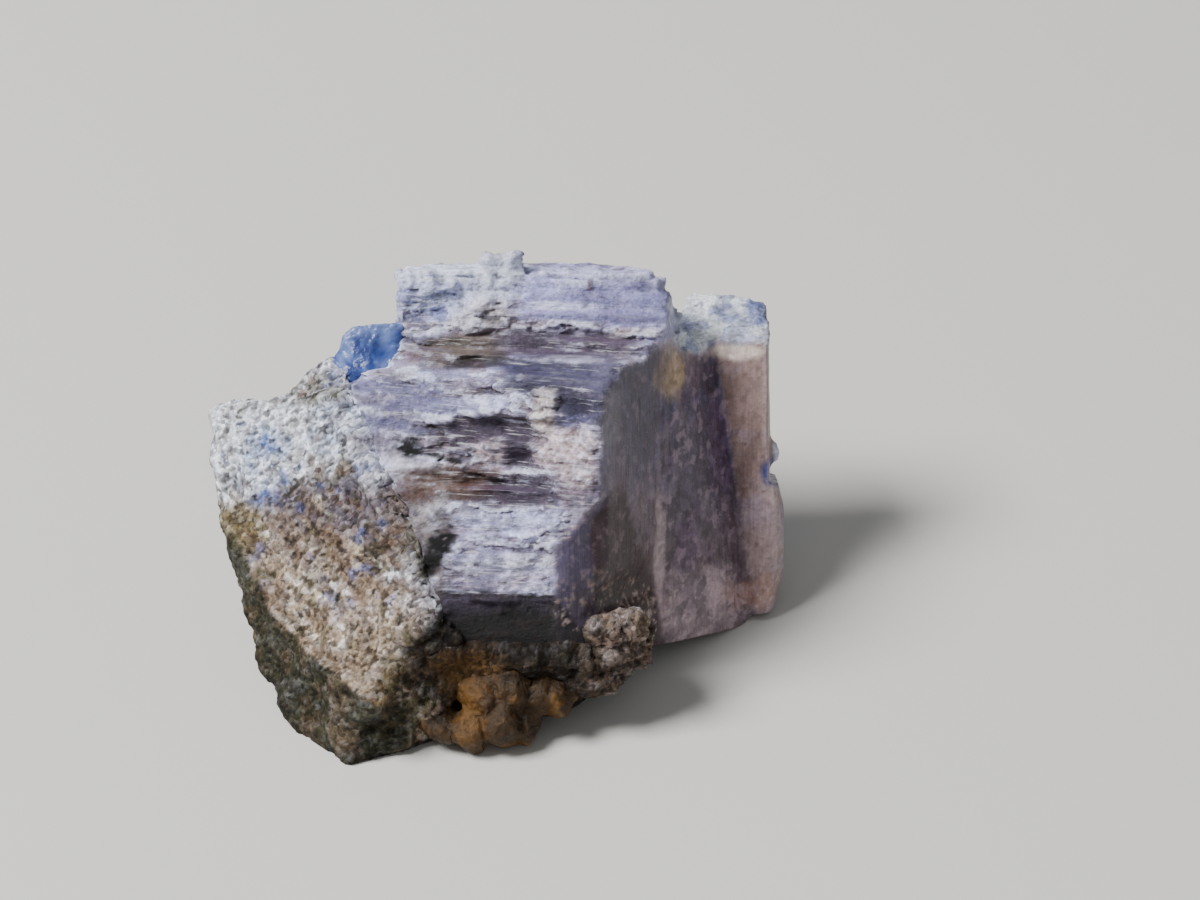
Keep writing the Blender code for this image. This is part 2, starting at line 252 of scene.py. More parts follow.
def insideShape(x, y, corners, soft):
    # 1 inside a shape of straight sides in the front view, 0 outside, with an edge that is soft by some pixels
    closed = tuple(corners) + (corners[0],)
    inside = np.zeros(len(x), dtype=bool)
    for (x0, y0), (x1, y1) in zip(closed[:-1], closed[1:]):
        inside ^= ((y0 > y) != (y1 > y)) & (x < (x1 - x0) * (y - y0) / (y1 - y0 + 1e-9) + x0)
    away = lineDistance(x, y, closed)
    return ramp(np.where(inside, away, -away), -soft, soft)


def closeness(places, node, reach):
    # Distance from each point to a solid, in millimetres, up to the reach, and the nearest place on it
    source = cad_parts[node]
    tree = BVHTree.FromPolygons([v.co for v in source.data.vertices],
        [tuple(f.vertices) for f in source.data.polygons])
    near = np.full(len(places), reach)
    spots = places.copy()
    for index, place in enumerate(places):
        found = tree.find_nearest(Vector(place), reach * mm)
        if found[0] is not None:
            near[index] = found[3] / mm
            spots[index] = found[0]
    return near, spots


def growOnto(piece, node, reach, bite):
    # Draws a piece across its narrow gap until it bites into the neighbour; gives the distance it had
    places = pointsOf(piece)
    near, spots = closeness(places, node, 3.0)
    away = spots - places
    length = np.maximum(np.linalg.norm(away, axis=1), 1e-8)
    share = np.clip(1.0 - (near / reach) ** 2, 0.0, 1.0)
    pull = (length + bite * mm) * share
    setPoints(piece, places + away / length[:, None] * pull[:, None])
    return near


def wornPlaces(piece, rounds):
    # Where the points would lie after rounds of smoothing
    deselectAll()
    twin = piece.copy()
    twin.data = piece.data.copy()
    bpy.context.scene.collection.objects.link(twin)
    bpy.context.view_layer.objects.active = twin
    twin.select_set(True)
    smooth = twin.modifiers.new("wear", "SMOOTH")
    smooth.factor = 1.0
    smooth.iterations = rounds
    bpy.ops.object.modifier_apply(modifier="wear")
    places = pointsOf(twin)
    bpy.data.objects.remove(twin)
    return places


def pieceFrom(node, name, voxel):
    # A copy of a solid, its loose triangles joined and turned into an even fine mesh
    deselectAll()
    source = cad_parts[node]
    piece = source.copy()
    piece.data = source.data.copy()
    piece.name = name
    piece.data.name = name
    bpy.context.scene.collection.objects.link(piece)
    bpy.context.view_layer.objects.active = piece
    piece.select_set(True)
    bpy.ops.object.mode_set(mode="EDIT")
    bpy.ops.mesh.select_all(action="SELECT")
    bpy.ops.mesh.remove_doubles(threshold=0.000002)
    bpy.ops.object.mode_set(mode="OBJECT")
    piece.data.materials.clear()
    remesh = piece.modifiers.new("even mesh", "REMESH")
    remesh.mode = "VOXEL"
    remesh.voxel_size = voxel
    remesh.use_smooth_shade = True
    bpy.ops.object.modifier_apply(modifier="even mesh")
    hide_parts(node)
    return piece


def paint(piece, name, values):
    # Stores a value or a colour at every point, for the material to read
    if values.ndim == 1:
        layer = piece.data.attributes.new(name, "FLOAT", "POINT")
        layer.data.foreach_set("value", values.astype(np.float32))
    else:
        layer = piece.data.attributes.new(name, "FLOAT_COLOR", "POINT")
        full = np.ones((len(values), 4), dtype=np.float32)
        full[:, :3] = np.clip(values, 0.0, 1.0)
        layer.data.foreach_set("color", full.ravel())


# Materials
def newMaterial(name):
    material = bpy.data.materials.new(name)
    material.use_nodes = True
    tree = material.node_tree
    return material, tree, tree.nodes["Principled BSDF"]


def add(tree, kind, label="", links=None, **settings):
    # A node with its settings, its input values and the sockets that feed it
    node = tree.nodes.new(kind)
    node.label = label
    for key, value in settings.items():
        setattr(node, key, value)
    for key, value in (links or {}).items():
        if hasattr(value, "links"):
            tree.links.new(value, node.inputs[key])
        else:
            node.inputs[key].default_value = value
    return node


def crystalCoordinates(tree, stretch):
    # Object coordinates turned to the leaning crystal, then stretched
    place = add(tree, "ShaderNodeTexCoord")
    turned = add(tree, "ShaderNodeMapping", "lean",
        {"Vector": place.outputs["Object"], "Rotation": (crystalFrame["lean"], 0.0, 0.0)})
    return add(tree, "ShaderNodeVectorMath", "stretch", {0: turned.outputs[0], 1: stretch},
        operation="MULTIPLY").outputs[0]


def readValue(tree, name):
    return add(tree, "ShaderNodeAttribute", name, attribute_name=name).outputs["Fac"]


def readColour(tree, name):
    return add(tree, "ShaderNodeAttribute", name, attribute_name=name).outputs["Color"]


def maths(tree, operation, first, second, third=0.5):
    return add(tree, "ShaderNodeMath", operation.lower(), {0: first, 1: second, 2: third},
        operation=operation).outputs[0]


def mapped(tree, label, value, low, high, toLow, toHigh):
    # A value moved from one range to another
    return add(tree, "ShaderNodeMapRange", label, {0: value, 1: low, 2: high, 3: toLow, 4: toHigh}).outputs[0]


def noiseNode(tree, label, place, scale, detail, roughness=0.5):
    values = {"Vector": place, "Scale": scale, "Detail": detail, "Roughness": roughness}
    return add(tree, "ShaderNodeTexNoise", label, values).outputs[0]


def blended(tree, label, share, first, second):
    return add(tree, "ShaderNodeMix", label, {0: share, 2: first, 3: second}, data_type="FLOAT").outputs[0]


# The rock that the crystals stand in: white, grey, brown and green grains
rockLook = {
    "voxel": 0.000112,  # fineness of the mesh, in metres
    "lumpStep": 0.24,  # relief from coarse to fine, mm
    "chunkStep": 0.12,
    "grainStep": 0.085,
    "seamReach": 0.8,  # rock this near to the crystal closes up to it, mm
    "seamBite": 0.4,  # and how deep it goes into it, mm
    "crustWear": 0.95,  # how far the crust over the crystal's foot is worn down
    "contrastMiddle": 0.34,
    "contrastPower": 0.28,
    "brightest": 0.9,
    "specular": 0.2,
}
rockTints = {
    "white": colour(236, 241, 252),
    "grey": colour(150, 147, 146),
    "brown": colour(122, 100, 82),
    "green": colour(92, 90, 62),
    "moss": colour(58, 58, 38),
    "dark": colour(24, 18, 10),
    # dark brown, made darker still to stand as painted shade on the lower front
    "soil": colour(32, 21, 9),
    "gold": colour(92, 66, 34),
    "violet": colour(98, 84, 96),
    "lilac": colour(150, 152, 192),
    "blue": colour(72, 106, 184),
    "paleBlue": colour(158, 176, 214),
    "yellow": colour(120, 100, 54),
    "cream": colour(214, 198, 170),
    "black": colour(16, 15, 14),
    "pale": colour(124, 104, 92),
    "sand": colour(160, 138, 116),
}
# Places on the front that have a colour of their own, some darkened with painted shade: place and half-size in pixels
# of the front view
rockMarks = (
    markAt("lilac", (374, 426), (62, 48), 0.75),
    markAt("white", (280, 448), (80, 48), 0.85),
    markAt("grey", (318, 392), (34, 20), 0.95),
    markAt("paleBlue", (262, 470), (30, 46), 0.45),
    markAt("moss", (236, 470), (10, 26), 0.35, turn=-8),
    markAt("paleBlue", (266, 448), (24, 20), 0.6),
    markAt("paleBlue", (274, 494), (30, 16), 0.55),
    markAt("paleBlue", (322, 440), (26, 14), 0.5, turn=-20),
    markAt("blue", (266, 445), (12, 10), 0.6),
    markAt("blue", (270, 497), (15, 8), 0.7),
    markAt("blue", (359, 471), (9, 6), 0.7),
    markAt("paleBlue", (390, 356), (36, 22), 0.6),
    markAt("cream", (344, 469), (8, 7), 0.85),
    markAt("violet", (372, 402), (28, 6), 0.6, turn=12, ragged=0.8),
    markAt("violet", (356, 438), (32, 6), 0.5, turn=12, ragged=0.8),
    markAt("paleBlue", (340, 416), (30, 16), 0.5),
    markAt("violet", (352, 520), (88, 46), 0.92, turn=12),
    markAt("sand", (335, 605), (115, 62), 0.85, turn=30),
    markAt("brown", (318, 528), (12, 44), 0.6, turn=-20),
    markAt("brown", (378, 560), (14, 44), 0.5, turn=35),
    markAt("cream", (294, 598), (46, 20), 0.3, turn=55),
    markAt("brown", (270, 560), (26, 30), 0.4, turn=-30, ragged=0.9),
    markAt("blue", (330, 598), (8, 8), 0.5),
    markAt("yellow", (242, 526), (24, 26), 0.9),
    markAt("green", (232, 560), (12, 36), 0.7, turn=-12),
    markAt("green", (404, 695), (28, 70), 0.8, turn=22, soft=0.3),
    # dark brown on the lower front above the honey crystals, partly painted shade
    markAt("soil", (514, 672), (108, 50), 0.97, turn=2, soft=0.3),
    markAt("soil", (452, 634), (22, 34), 0.8, turn=30, soft=0.4),
    markAt("brown", (396, 700), (18, 46), 0.6, turn=28, ragged=0.8),
    markAt("yellow", (403, 660), (6, 62), 0.55, turn=31, ragged=0.9),
    # dark line under the crystal's ledge: dark rock with painted shade
    markAt("dark", (500, 640), (90, 12), 0.6, turn=3),
    markAt("gold", (472, 676), (40, 26), 0.85, turn=20, soft=0.4),
    markAt("gold", (522, 692), (24, 12), 0.6),
    # dark patches on the lower front and right of the tip: dark rock with painted shade
    markAt("dark", (560, 662), (38, 20), 0.7),
    markAt("dark", (430, 640), (14, 22), 0.5, turn=25),
    markAt("pale", (625, 638), (44, 66), 0.97, turn=30, soft=0.2),
    markAt("sand", (648, 620), (12, 20), 0.6, turn=20),
    markAt("brown", (400, 510), (24, 40), 0.55, turn=20),
    markAt("green", (412, 548), (16, 30), 0.5, turn=25),
    markAt("black", (431, 561), (9, 19), 0.95, turn=28, ragged=0.6),
    markAt("black", (408, 450), (9, 7), 0.9, ragged=0.6),
)
# Other places on the front view that the rock's shape and colours use
rockPlaces = {
    "knob": {"at": (630, 612), "size": (58, 46), "soft": 0.5},
    "crust": {"at": (625, 640), "size": (56, 66), "soft": 0.5},
    "streaks": {"at": (345, 555), "size": (120, 100), "turn": 20, "soft": 0.5},
    "breakLeft": 335,
    "breakFoot": 525,
    "sideTop": (520, 560),
    "tipTop": (698, 710),
    "tipRight": 420,
}
# The lower left side, past the edge that runs down to the tip, is darker: olive rock with painted shade
sideEdge = ((230, 520), (246, 562), (276, 615), (322, 664), (374, 706), (352, 790))
frontEdge = ((437, 604), (405, 650), (371, 712))


def pastSideEdge(x, y, ragged):
    # 1 on the dark lower left side of the rock, 0 on the pale facet
    heights = [point[1] for point in sideEdge]
    bound = np.interp(y, heights[:-1], [point[0] for point in sideEdge][:-1])
    leftOf = ramp(bound - x + ragged * 8.0, -3.0, 5.0) * ramp(y, *rockPlaces["sideTop"])
    tip = ramp(y + ragged * 6.0, *rockPlaces["tipTop"]) * ramp(rockPlaces["tipRight"] - x, 0, 20)
    return np.maximum(leftOf, tip)


def rockMix(base, name, share):
    return mixed(base, rockTints[name], share)


def rockGrains(places):
    # Random values of the coarse and fine grains at each point, and how far it is from their middles
    local = places / mm
    grain, value = grainNoise(local * 2.3 + layeredNoise(local * 1.5, 2, 74)[:, None] * 0.6, 73)
    small, smallValue = grainNoise(local * 4.5, 83)
    return grain, value, small, smallValue


def rockRelief(places, grains):
    grain, value, small = grains[:3]
    push = ridgedNoise(places / mm * 0.55, 3, 71) * rockLook["lumpStep"] * 0.8
    push += ridgedNoise(places / mm * 1.5, 3, 72) * rockLook["chunkStep"]
    push += (0.45 - grain) * rockLook["grainStep"] * (0.2 + value * 1.4)
    return push + (0.4 - small) * rockLook["grainStep"] * 0.5


def rockColours(piece, places, normals, grains, near):
    # Ground colour by zone, then single grains; used on the rock and on the crystal's grainy rim
    a, p, c = crystalPlace(places)
    x, y = seenAt(places)
    edge = edgeAmount(piece, places, normals, 3)
    wide = edgeAmount(piece, places, normals, 14)
    value, smallValue = grains[1], grains[3]
    local = places / mm
    cloud = layeredNoise(local * 0.4, 3, 91)
    spots = layeredNoise(local * 1.3, 3, 92)
    ragged = layeredNoise(local * 1.2, 4, 93)
    facing = facingView(normals, -0.1, 0.15)
    high = ramp(local[:, 2] + cloud * 2.0, 3.5, 7.5)
    # faces turned up and towards the front are sandier, and whiter high up: the pale granular top, with painted light
    # on faces turned up
    up = ramp(normals[:, 2] * 0.75 - normals[:, 1] * 0.3 + cloud * 0.3, 0.05, 0.5)
    tint = rockMix(rockTints["green"], "brown", ramp(cloud + spots * 0.6, -0.1, 0.4))
    tint = rockMix(tint, "sand", up * 0.8)
    tint = rockMix(tint, "white", up * high * 0.5)
    # darker low down on faces not turned up: painted shade
    low = 1.0 - ramp(local[:, 2] + cloud * 1.5, 1.0, 4.5)
    tint = rockMix(tint, "soil", low * (1.0 - up) * 0.6)
    streak = layeredNoise(stretched(a, p, c, 0.5, 0.5, 2.4), 3, 94)
    violet = rockMix(rockTints["lilac"], "violet", ramp(streak, -0.1, 0.3))
    violet = rockMix(violet, "white", ramp(-streak, 0.05, 0.35) * 0.7)
    nearSeam = 1.0 - ramp(near + ragged * 1.2, 0.5, 3.4)
    tint = mixed(tint, violet, nearSeam * 0.6 * ramp(local[:, 2], 4.0, 5.5))
    likeCrystal = nearSeam * facing * ramp(x - rockPlaces["breakLeft"], 0, 40)  # left end of the break
    likeCrystal = likeCrystal * ramp(rockPlaces["breakFoot"] - y, 0, 60)
    for mark in rockMarks:
        tint = rockMix(tint, mark["tint"], patch(x, y, mark, ragged) * mark["amount"] * facing)
    slant = layeredNoise(np.stack((a * 0.64 - c * 0.48, p * 0.8, (a * 0.6 + c * 0.8) * 3.0), axis=1), 4, 95)
    streaky = patch(x, y, rockPlaces["streaks"], ragged) * facing
    tint = rockMix(tint, "brown", ramp(slant, 0.05, 0.3) * 0.75 * streaky)
    tint = rockMix(tint, "cream", ramp(-slant, 0.2, 0.4) * 0.5 * streaky)
    # the lower left side, turned away from the front, gets dark olive rock with painted shade
    side = pastSideEdge(x, y, ragged) * facingView(normals, -0.4, -0.1)
    shadedSide = rockMix(rockTints["moss"], "brown", ramp(spots, 0.05, 0.4) * 0.45)
    tint = mixed(tint, rockMix(shadedSide, "dark", ramp(-cloud - spots * 0.5, -0.1, 0.4) * 0.6), side * 0.95)

    tint = mixed(tint, violet, likeCrystal * 0.4)
    plain = tint

    # Single grains: white, brown, dark green, a few blue
    pale = ramp(tint @ brightness, 0.22, 0.58)
    tint = rockMix(tint, "white", ramp(value, 0.66, 0.72) * (0.05 + 0.55 * pale))
    tint = rockMix(tint, "brown", (ramp(value, 0.36, 0.40) - ramp(value, 0.50, 0.54)) * 0.5)
    tint = rockMix(tint, "green", (1.0 - ramp(value, 0.10, 0.14)) * 0.5)
    tint = rockMix(tint, "blue", (ramp(value, 0.60, 0.62) - ramp(value, 0.65, 0.67)) * 0.4 * high)
    tint = rockMix(tint, "white", ramp(smallValue, 0.80, 0.84) * (0.10 + 0.45 * pale))
    tint = rockMix(tint, "dark", (1.0 - ramp(smallValue, 0.14, 0.18)) * 0.6)
    tint = mixed(tint, plain, np.maximum(likeCrystal * 0.6, side * 0.45))
    # whiter on ridges: painted highlight; darker in small hollows: painted shade
    tint = rockMix(tint, "white", ramp(edge, 0.02, 0.08) * (0.04 + 0.42 * pale))
    tint = rockMix(tint, "dark", ramp(-edge, 0.02, 0.09) * 0.55)
    light = np.maximum(tint @ brightness, 0.01)
    strength = (light / rockLook["contrastMiddle"]) ** rockLook["contrastPower"]
    tint = tint * np.minimum(strength, rockLook["brightest"] / np.maximum(tint.max(axis=1), 0.01))[:, None]
    # black, shaded soil and gold painted again over the grains; the shaded soil is partly painted shade
    for mark in rockMarks:
        if mark["tint"] in ("black", "soil", "gold"):
            tint = rockMix(tint, mark["tint"], patch(x, y, mark, ragged) * facing * 0.6)
    # darker in broad hollows: painted shade
    return tint * (1.0 - 0.5 * ramp(-wide, 0.05, 0.35))[:, None]


def sculptRock(piece):
    near = growOnto(piece, "carletonite_crystal", rockLook["seamReach"], rockLook["seamBite"])
    places = pointsOf(piece)
    x, y = seenAt(places)
    knob = patch(x, y, rockPlaces["knob"], 0.0) * facingView(normalsOf(piece), -0.5, -0.1)
    share = neighbourMean(piece, knob * ramp(near, 0.15, 0.5), 4)[:, None] * rockLook["crustWear"]
    places = places + (wornPlaces(piece, 60) - places) * share
    setPoints(piece, places)
    normals = normalsOf(piece)
    a, p, c = crystalPlace(places)
    x, y = seenAt(places)
    facing = facingView(normals, -0.4, 0.0)
    grains = rockGrains(places)
    push = rockRelief(places, grains)
    push += sheetRelief(a, p, c) * 0.8 * (1.0 - ramp(near, 0.3, 3.0))
    push += 0.16 * (1.0 - ramp(near, 0.5, 1.6))  # laps over the crystal's rim
    crust = patch(x, y, rockPlaces["crust"], 0.0)
    clump = grainNoise(places / mm * 1.25 + layeredNoise(places / mm * 1.1, 2, 77)[:, None] * 0.7, 76)
    lumps = ridgedNoise(places / mm * 0.9, 3, 75) * 0.34 + (0.42 - clump[0]) * 0.34 * (0.4 + clump[1])
    push += lumps * crust * ramp(near, 0.3, 0.9)
    for line in (sideEdge[:-1], frontEdge):
        push += 0.30 * np.exp(-(lineDistance(x, y, line) / 9.0) ** 2) * facing  # a standing edge
    base = ramp(places[:, 2] / mm, 0.0, 0.5)
    hold = ramp(near, 0.2, 0.7) * 0.85 + 0.15
    setPoints(piece, places + normals * (push * hold * base)[:, None] * mm)
    return {"near": near, "grains": grains}


def rockMaterial():
    material, tree, shader = newMaterial("granular rock")
    place = add(tree, "ShaderNodeTexCoord").outputs["Object"]
    grains = add(tree, "ShaderNodeTexVoronoi", "grains", {"Vector": place, "Scale": 5500.0, "Randomness": 1.0})
    speck = noiseNode(tree, "specks", place, 9000.0, 5.0, 0.7)
    coarse = noiseNode(tree, "patches", place, 2200.0, 4.0, 0.6)
    grainValue = add(tree, "ShaderNodeSeparateColor", "grain value", {0: grains.outputs["Color"]}).outputs[0]
    light = mapped(tree, "grain light", grainValue, 0.0, 1.0, 0.45, 1.5)
    lightPatch = mapped(tree, "patch light", coarse, 0.3, 0.7, 0.62, 1.36)
    strength = maths(tree, "MULTIPLY", light, lightPatch)
    tint = add(tree, "ShaderNodeVectorMath", "grained", {0: readColour(tree, "tint"), "Scale": strength},
        operation="SCALE").outputs[0]
    tree.links.new(tint, shader.inputs["Base Color"])
    rough = mapped(tree, "glints", speck, 0.56, 0.64, 0.8, 0.25)
    tree.links.new(rough, shader.inputs["Roughness"])
    shader.inputs["Specular IOR Level"].default_value = rockLook["specular"]
    height = maths(tree, "MULTIPLY_ADD", grains.outputs["Distance"], -0.5, speck)
    bump = add(tree, "ShaderNodeBump", "grain relief", {"Strength": 0.9, "Distance": 0.00018, "Height": height})
    tree.links.new(bump.outputs[0], shader.inputs["Normal"])
    return material


# The carletonite crystal: a broken, layered front, striated dark prism faces and an end column
crystalLook = {
    "voxel": 0.00012,  # fineness of the mesh, in metres
    "sheets": (0.62, 0.33, 0.17),  # thickness of the cleavage sheets, coarse to fine, mm
    "sheetSteps": (0.09, 0.11, 0.08),  # how far they jut, mm
    "largeChips": (1.7, 0.62),  # width and height of the broken plates' fragments, mm
    "smallChips": (0.7, 0.27),
    "chipSteps": (0.36, 0.20),  # how far they stand apart, mm
    "striaStep": 0.035,
    "seamWidth": 1.5,  # how far in from the rock the crystal is grainy, mm
    "chunkStep": 0.28,
    "wear": 46,  # rounds of smoothing over the solid's plates
    "wearShare": 0.92,
    # Tints under which few white flakes show
    "dark": ("window", "wallDeep", "blue", "rust", "deep", "crevice", "black", "bevel", "facet", "mauve",
        "prism", "wallShade", "dirt"),
    # How chunky rather than layered the break is under a mark
    "chunky": {"window": 0.1, "wall": 0.05, "deep": 0.3, "flake": 0.35, "lilac": 0.3, "pink": 0.9, "cream": 1.0,
               "dirt": 1.0, "rust": 0.9, "paleBlue": 0.9, "blue": 0.8, "black": 1.0, "crest": 0.9},
    "contrastMiddle": 0.32,
    "contrastPower": 0.30,
    "brightest": 0.88,
    "roughFace": 0.60,
    "smoothFace": 0.36,
    "specular": 0.36,
    "subsurface": 0.12,
    "subsurfaceDepth": 0.0006,
    "index": 1.52,
}
crystalTints = {
    "flake": colour(226, 228, 254),
    "crest": colour(226, 233, 255),
    "frost": colour(204, 208, 255),
    "lilac": colour(156, 154, 196),
    "wall": colour(160, 158, 212),
    "wallDeep": colour(52, 49, 78),
    "wallShade": colour(112, 110, 152),
    "deepGrey": colour(74, 70, 88),
    "greyPatch": colour(108, 105, 118),
    # smooth cleavage windows: dark violet, their darkness partly a painted dark reflection and painted shade under
    # the ledges
    "window": colour(76, 64, 84),
    # near-black violet, darkened as painted shade for the low front and the undersides
    "deep": colour(13, 9, 9),
    "bandViolet": colour(72, 61, 82),
    "bandBrown": colour(40, 26, 20),
    "dirt": colour(94, 82, 72),
    "crevice": colour(44, 38, 40),
    "prism": colour(86, 82, 108),
    "prismWarm": colour(110, 92, 96),
    "facet": colour(68, 50, 56),
    "brownFacet": colour(54, 37, 42),
    "bevel": colour(70, 64, 86),
    "purple": colour(98, 76, 104),
    "mauve": colour(130, 110, 122),
    "shade": colour(120, 120, 150),
    "lowMauve": colour(170, 148, 156),
    "column": colour(140, 118, 114),
    # near-white, made lighter still as painted light where the main crystal's rear wall casts shade on the column's
    # top
    "columnTop": colour(232, 238, 244),
    "cream": colour(222, 206, 196),
    "pink": colour(196, 174, 178),
    "rust": colour(84, 56, 42),
    "blue": colour(78, 90, 146),
    "blueDeep": colour(44, 62, 128),
    "paleBlue": colour(168, 178, 222),
    "yellow": colour(168, 144, 118),
    "orange": colour(178, 124, 86),
    "black": colour(16, 15, 15),
}
# Marks on the broken front: place and half-size in pixels of the front view, how far each stands proud in mm,
# how calm it is (no sheets) and how much it looks like the rock
crystalMarks = (
    markAt("window", (520, 415), (100, 84), 0.5, calm=0.2, soft=0.4),
    markAt("mauve", (560, 450), (60, 70), 0.35, calm=0.2, soft=0.4),
    markAt("wall", (598, 300), (84, 34), 0.92, calm=0.95, soft=0.2, ragged=0.15),
    markAt("wallShade", (590, 312), (64, 14), 0.5, calm=0.95, soft=0.6),
    markAt("wallShade", (655, 306), (26, 24), 0.6, calm=0.95, soft=0.5),
    markAt("crest", (450, 290), (62, 34), 0.6, calm=0.9, rise=0.05),
    markAt("paleBlue", (430, 294), (42, 24), 0.7, calm=0.9),
    markAt("crest", (450, 270), (56, 11), 0.85, calm=0.9, rise=0.1),
    markAt("crest", (500, 262), (27, 13), 0.85, calm=0.9, rise=0.15),
    markAt("flake", (610, 276), (60, 5), 0.4, turn=3, calm=0.95, rise=0.04),
    markAt("flake", (560, 306), (34, 4), 0.4, turn=2, calm=0.9, rise=0.05),
    markAt("blue", (405, 304), (12, 16), 0.7, calm=0.9, rise=-0.05, ragged=1.0),
    markAt("blueDeep", (434, 315), (15, 7), 0.7, calm=0.9, rise=-0.2, ragged=1.0),
    markAt("paleBlue", (412, 318), (18, 12), 0.6, calm=0.6, ragged=0.6),
    markAt("flake", (420, 330), (24, 7), 0.5, rise=0.1),
    markAt("cream", (476, 320), (24, 17), 0.4, turn=-35, calm=0.9, rise=0.28),
    markAt("dirt", (500, 322), (14, 20), 0.55, turn=-20, calm=0.9, rise=-0.1),
    markAt("dirt", (462, 348), (42, 14), 0.86, turn=-6, calm=0.7, rise=-0.12),
    markAt("pink", (560, 326), (46, 5), 0.5, turn=2, rise=0.03),
    markAt("window", (566, 344), (70, 14), 0.9, turn=2, calm=0.6, rise=-0.04, ragged=0.25),
    markAt("rust", (610, 345), (30, 10), 0.45, turn=3),
    markAt("cream", (634, 333), (26, 5), 0.5, turn=2, rise=0.03),
    markAt("flake", (548, 361), (54, 2.5), 0.4, turn=1, rise=0.04),
    # dark crack: a recess with painted shade in it
    markAt("crevice", (478, 361), (26, 6), 0.9, turn=-4, rise=-0.3, ragged=0.8),
    markAt("wallDeep", (554, 378), (54, 18), 0.98, turn=1, calm=0.6, rise=-0.12, ragged=0.25),
    markAt("window", (556, 384), (50, 11), 0.5, turn=2, calm=0.6, rise=-0.12, ragged=0.25),
    markAt("wallDeep", (576, 404), (22, 10), 0.86, calm=0.6, rise=-0.08),
    markAt("prism", (606, 396), (15, 34), 0.9, calm=0.95),
    markAt("frost", (444, 381), (56, 10), 0.95, turn=-3, rise=0.14),
    markAt("window", (460, 395), (46, 5), 0.75, turn=-5, rise=-0.06),
    markAt("frost", (478, 406), (50, 9), 0.9, turn=-6, rise=0.12),
    markAt("lilac", (430, 416), (48, 9), 0.6, turn=-8, rise=0.05),
    markAt("window", (488, 431), (52, 12), 0.85, turn=-4, calm=0.4, rise=-0.12),
    markAt("cream", (544, 398), (13, 9), 0.9, calm=0.9, rise=0.3, ragged=0.7),
    markAt("cream", (541, 422), (12, 18), 0.75, turn=8, calm=0.9, rise=0.22, ragged=0.7),
    markAt("blue", (573, 422), (20, 7), 0.45, calm=0.6, rise=-0.1),
    markAt("window", (517, 446), (15, 24), 0.98, calm=0.7, rise=-0.15, ragged=0.25),
    markAt("pink", (566, 448), (30, 17), 0.85, turn=-5, calm=0.7, rise=0.12),
    markAt("pink", (492, 452), (18, 13), 0.85, calm=0.8, rise=0.2, ragged=0.5),
    markAt("dirt", (452, 447), (26, 8), 0.5, turn=-6),
    markAt("pink", (450, 468), (46, 6), 0.8, turn=-3, calm=0.5, rise=0.16),
    markAt("flake", (526, 478), (30, 7), 0.65, calm=0.5, rise=0.1),
    markAt("rust", (452, 484), (52, 17), 0.97, turn=-2, calm=0.7, rise=-0.12),
    markAt("facet", (474, 492), (34, 10), 0.7, turn=-3, calm=0.7, rise=-0.12),
    markAt("window", (522, 492), (38, 14), 0.95, turn=-3, calm=0.5, rise=-0.16, ragged=0.25),
    markAt("mauve", (576, 492), (20, 26), 0.7, calm=0.7),
    markAt("pink", (578, 476), (16, 12), 0.6, calm=0.7, rise=0.06),
    markAt("frost", (506, 524), (54, 14), 0.97, turn=-5, calm=0.4, rise=0.18),
    markAt("lilac", (508, 547), (54, 11), 0.85, turn=-5, calm=0.3, rise=0.06),
    markAt("flake", (504, 564), (46, 10), 0.55, turn=-4, calm=0.4, rise=0.1),
    markAt("lilac", (490, 583), (62, 12), 0.85, turn=-3, calm=0.4),
    markAt("mauve", (500, 580), (54, 11), 0.35, turn=-3, calm=0.4),
    markAt("shade", (404, 400), (38, 74), 0.62, turn=12, calm=0.2),
    markAt("paleBlue", (404, 372), (26, 8), 0.6, turn=18, rise=0.06),
    markAt("window", (410, 356), (22, 5), 0.7, turn=8, rise=-0.12, ragged=0.6),
    markAt("window", (398, 392), (26, 5), 0.65, turn=14, rise=-0.1, ragged=0.6),
    markAt("window", (412, 426), (28, 5), 0.65, turn=6, rise=-0.1, ragged=0.6),
    markAt("mauve", (430, 440), (30, 5), 0.7, turn=4, rise=-0.06, ragged=0.6),
    markAt("wallShade", (424, 405), (46, 8), 0.88, turn=2, ragged=0.7),
    markAt("wallShade", (404, 338), (26, 7), 0.55, turn=6, ragged=0.7),
    markAt("wallShade", (388, 388), (44, 8), 0.88, turn=8, rise=-0.04, ragged=0.8),
    markAt("window", (432, 358), (22, 4), 0.6, turn=4, rise=-0.06, ragged=0.8),
    markAt("wallShade", (386, 424), (40, 8), 0.88, turn=4, rise=-0.04, ragged=0.8),
    markAt("mauve", (376, 452), (32, 7), 0.6, turn=10, ragged=0.8),
    markAt("shade", (492, 568), (14, 12), 0.8, calm=0.9, rise=-0.04),
    markAt("pink", (394, 440), (26, 60), 0.2, calm=0.4, rocky=0.45),
    markAt("dirt", (402, 530), (46, 62), 0.3, calm=1.0, rise=-0.05, rocky=0.95),
    markAt("rust", (590, 285), (3.5, 6), 0.8, calm=0.95),
    markAt("black", (431, 561), (9, 19), 0.97, turn=28, rise=-0.15, ragged=0.8),
    markAt("black", (445, 539), (9, 15), 0.95, turn=30, rise=-0.1, ragged=0.8),
    markAt("black", (410, 448), (10, 9), 0.95, rise=0.05, ragged=0.9),
    markAt("black", (444, 458), (18, 3), 0.85, turn=12, rise=0.05, ragged=0.6),
    # near-black low band under the break: dark violet with painted shade
    markAt("deep", (512, 622), (100, 30), 0.98, turn=3, calm=0.95, rise=-0.05, soft=0.12, ragged=0.15),
    markAt("deep", (510, 645), (110, 14), 0.5, turn=2, calm=0.95, rise=0.1, rocky=0.8),
)
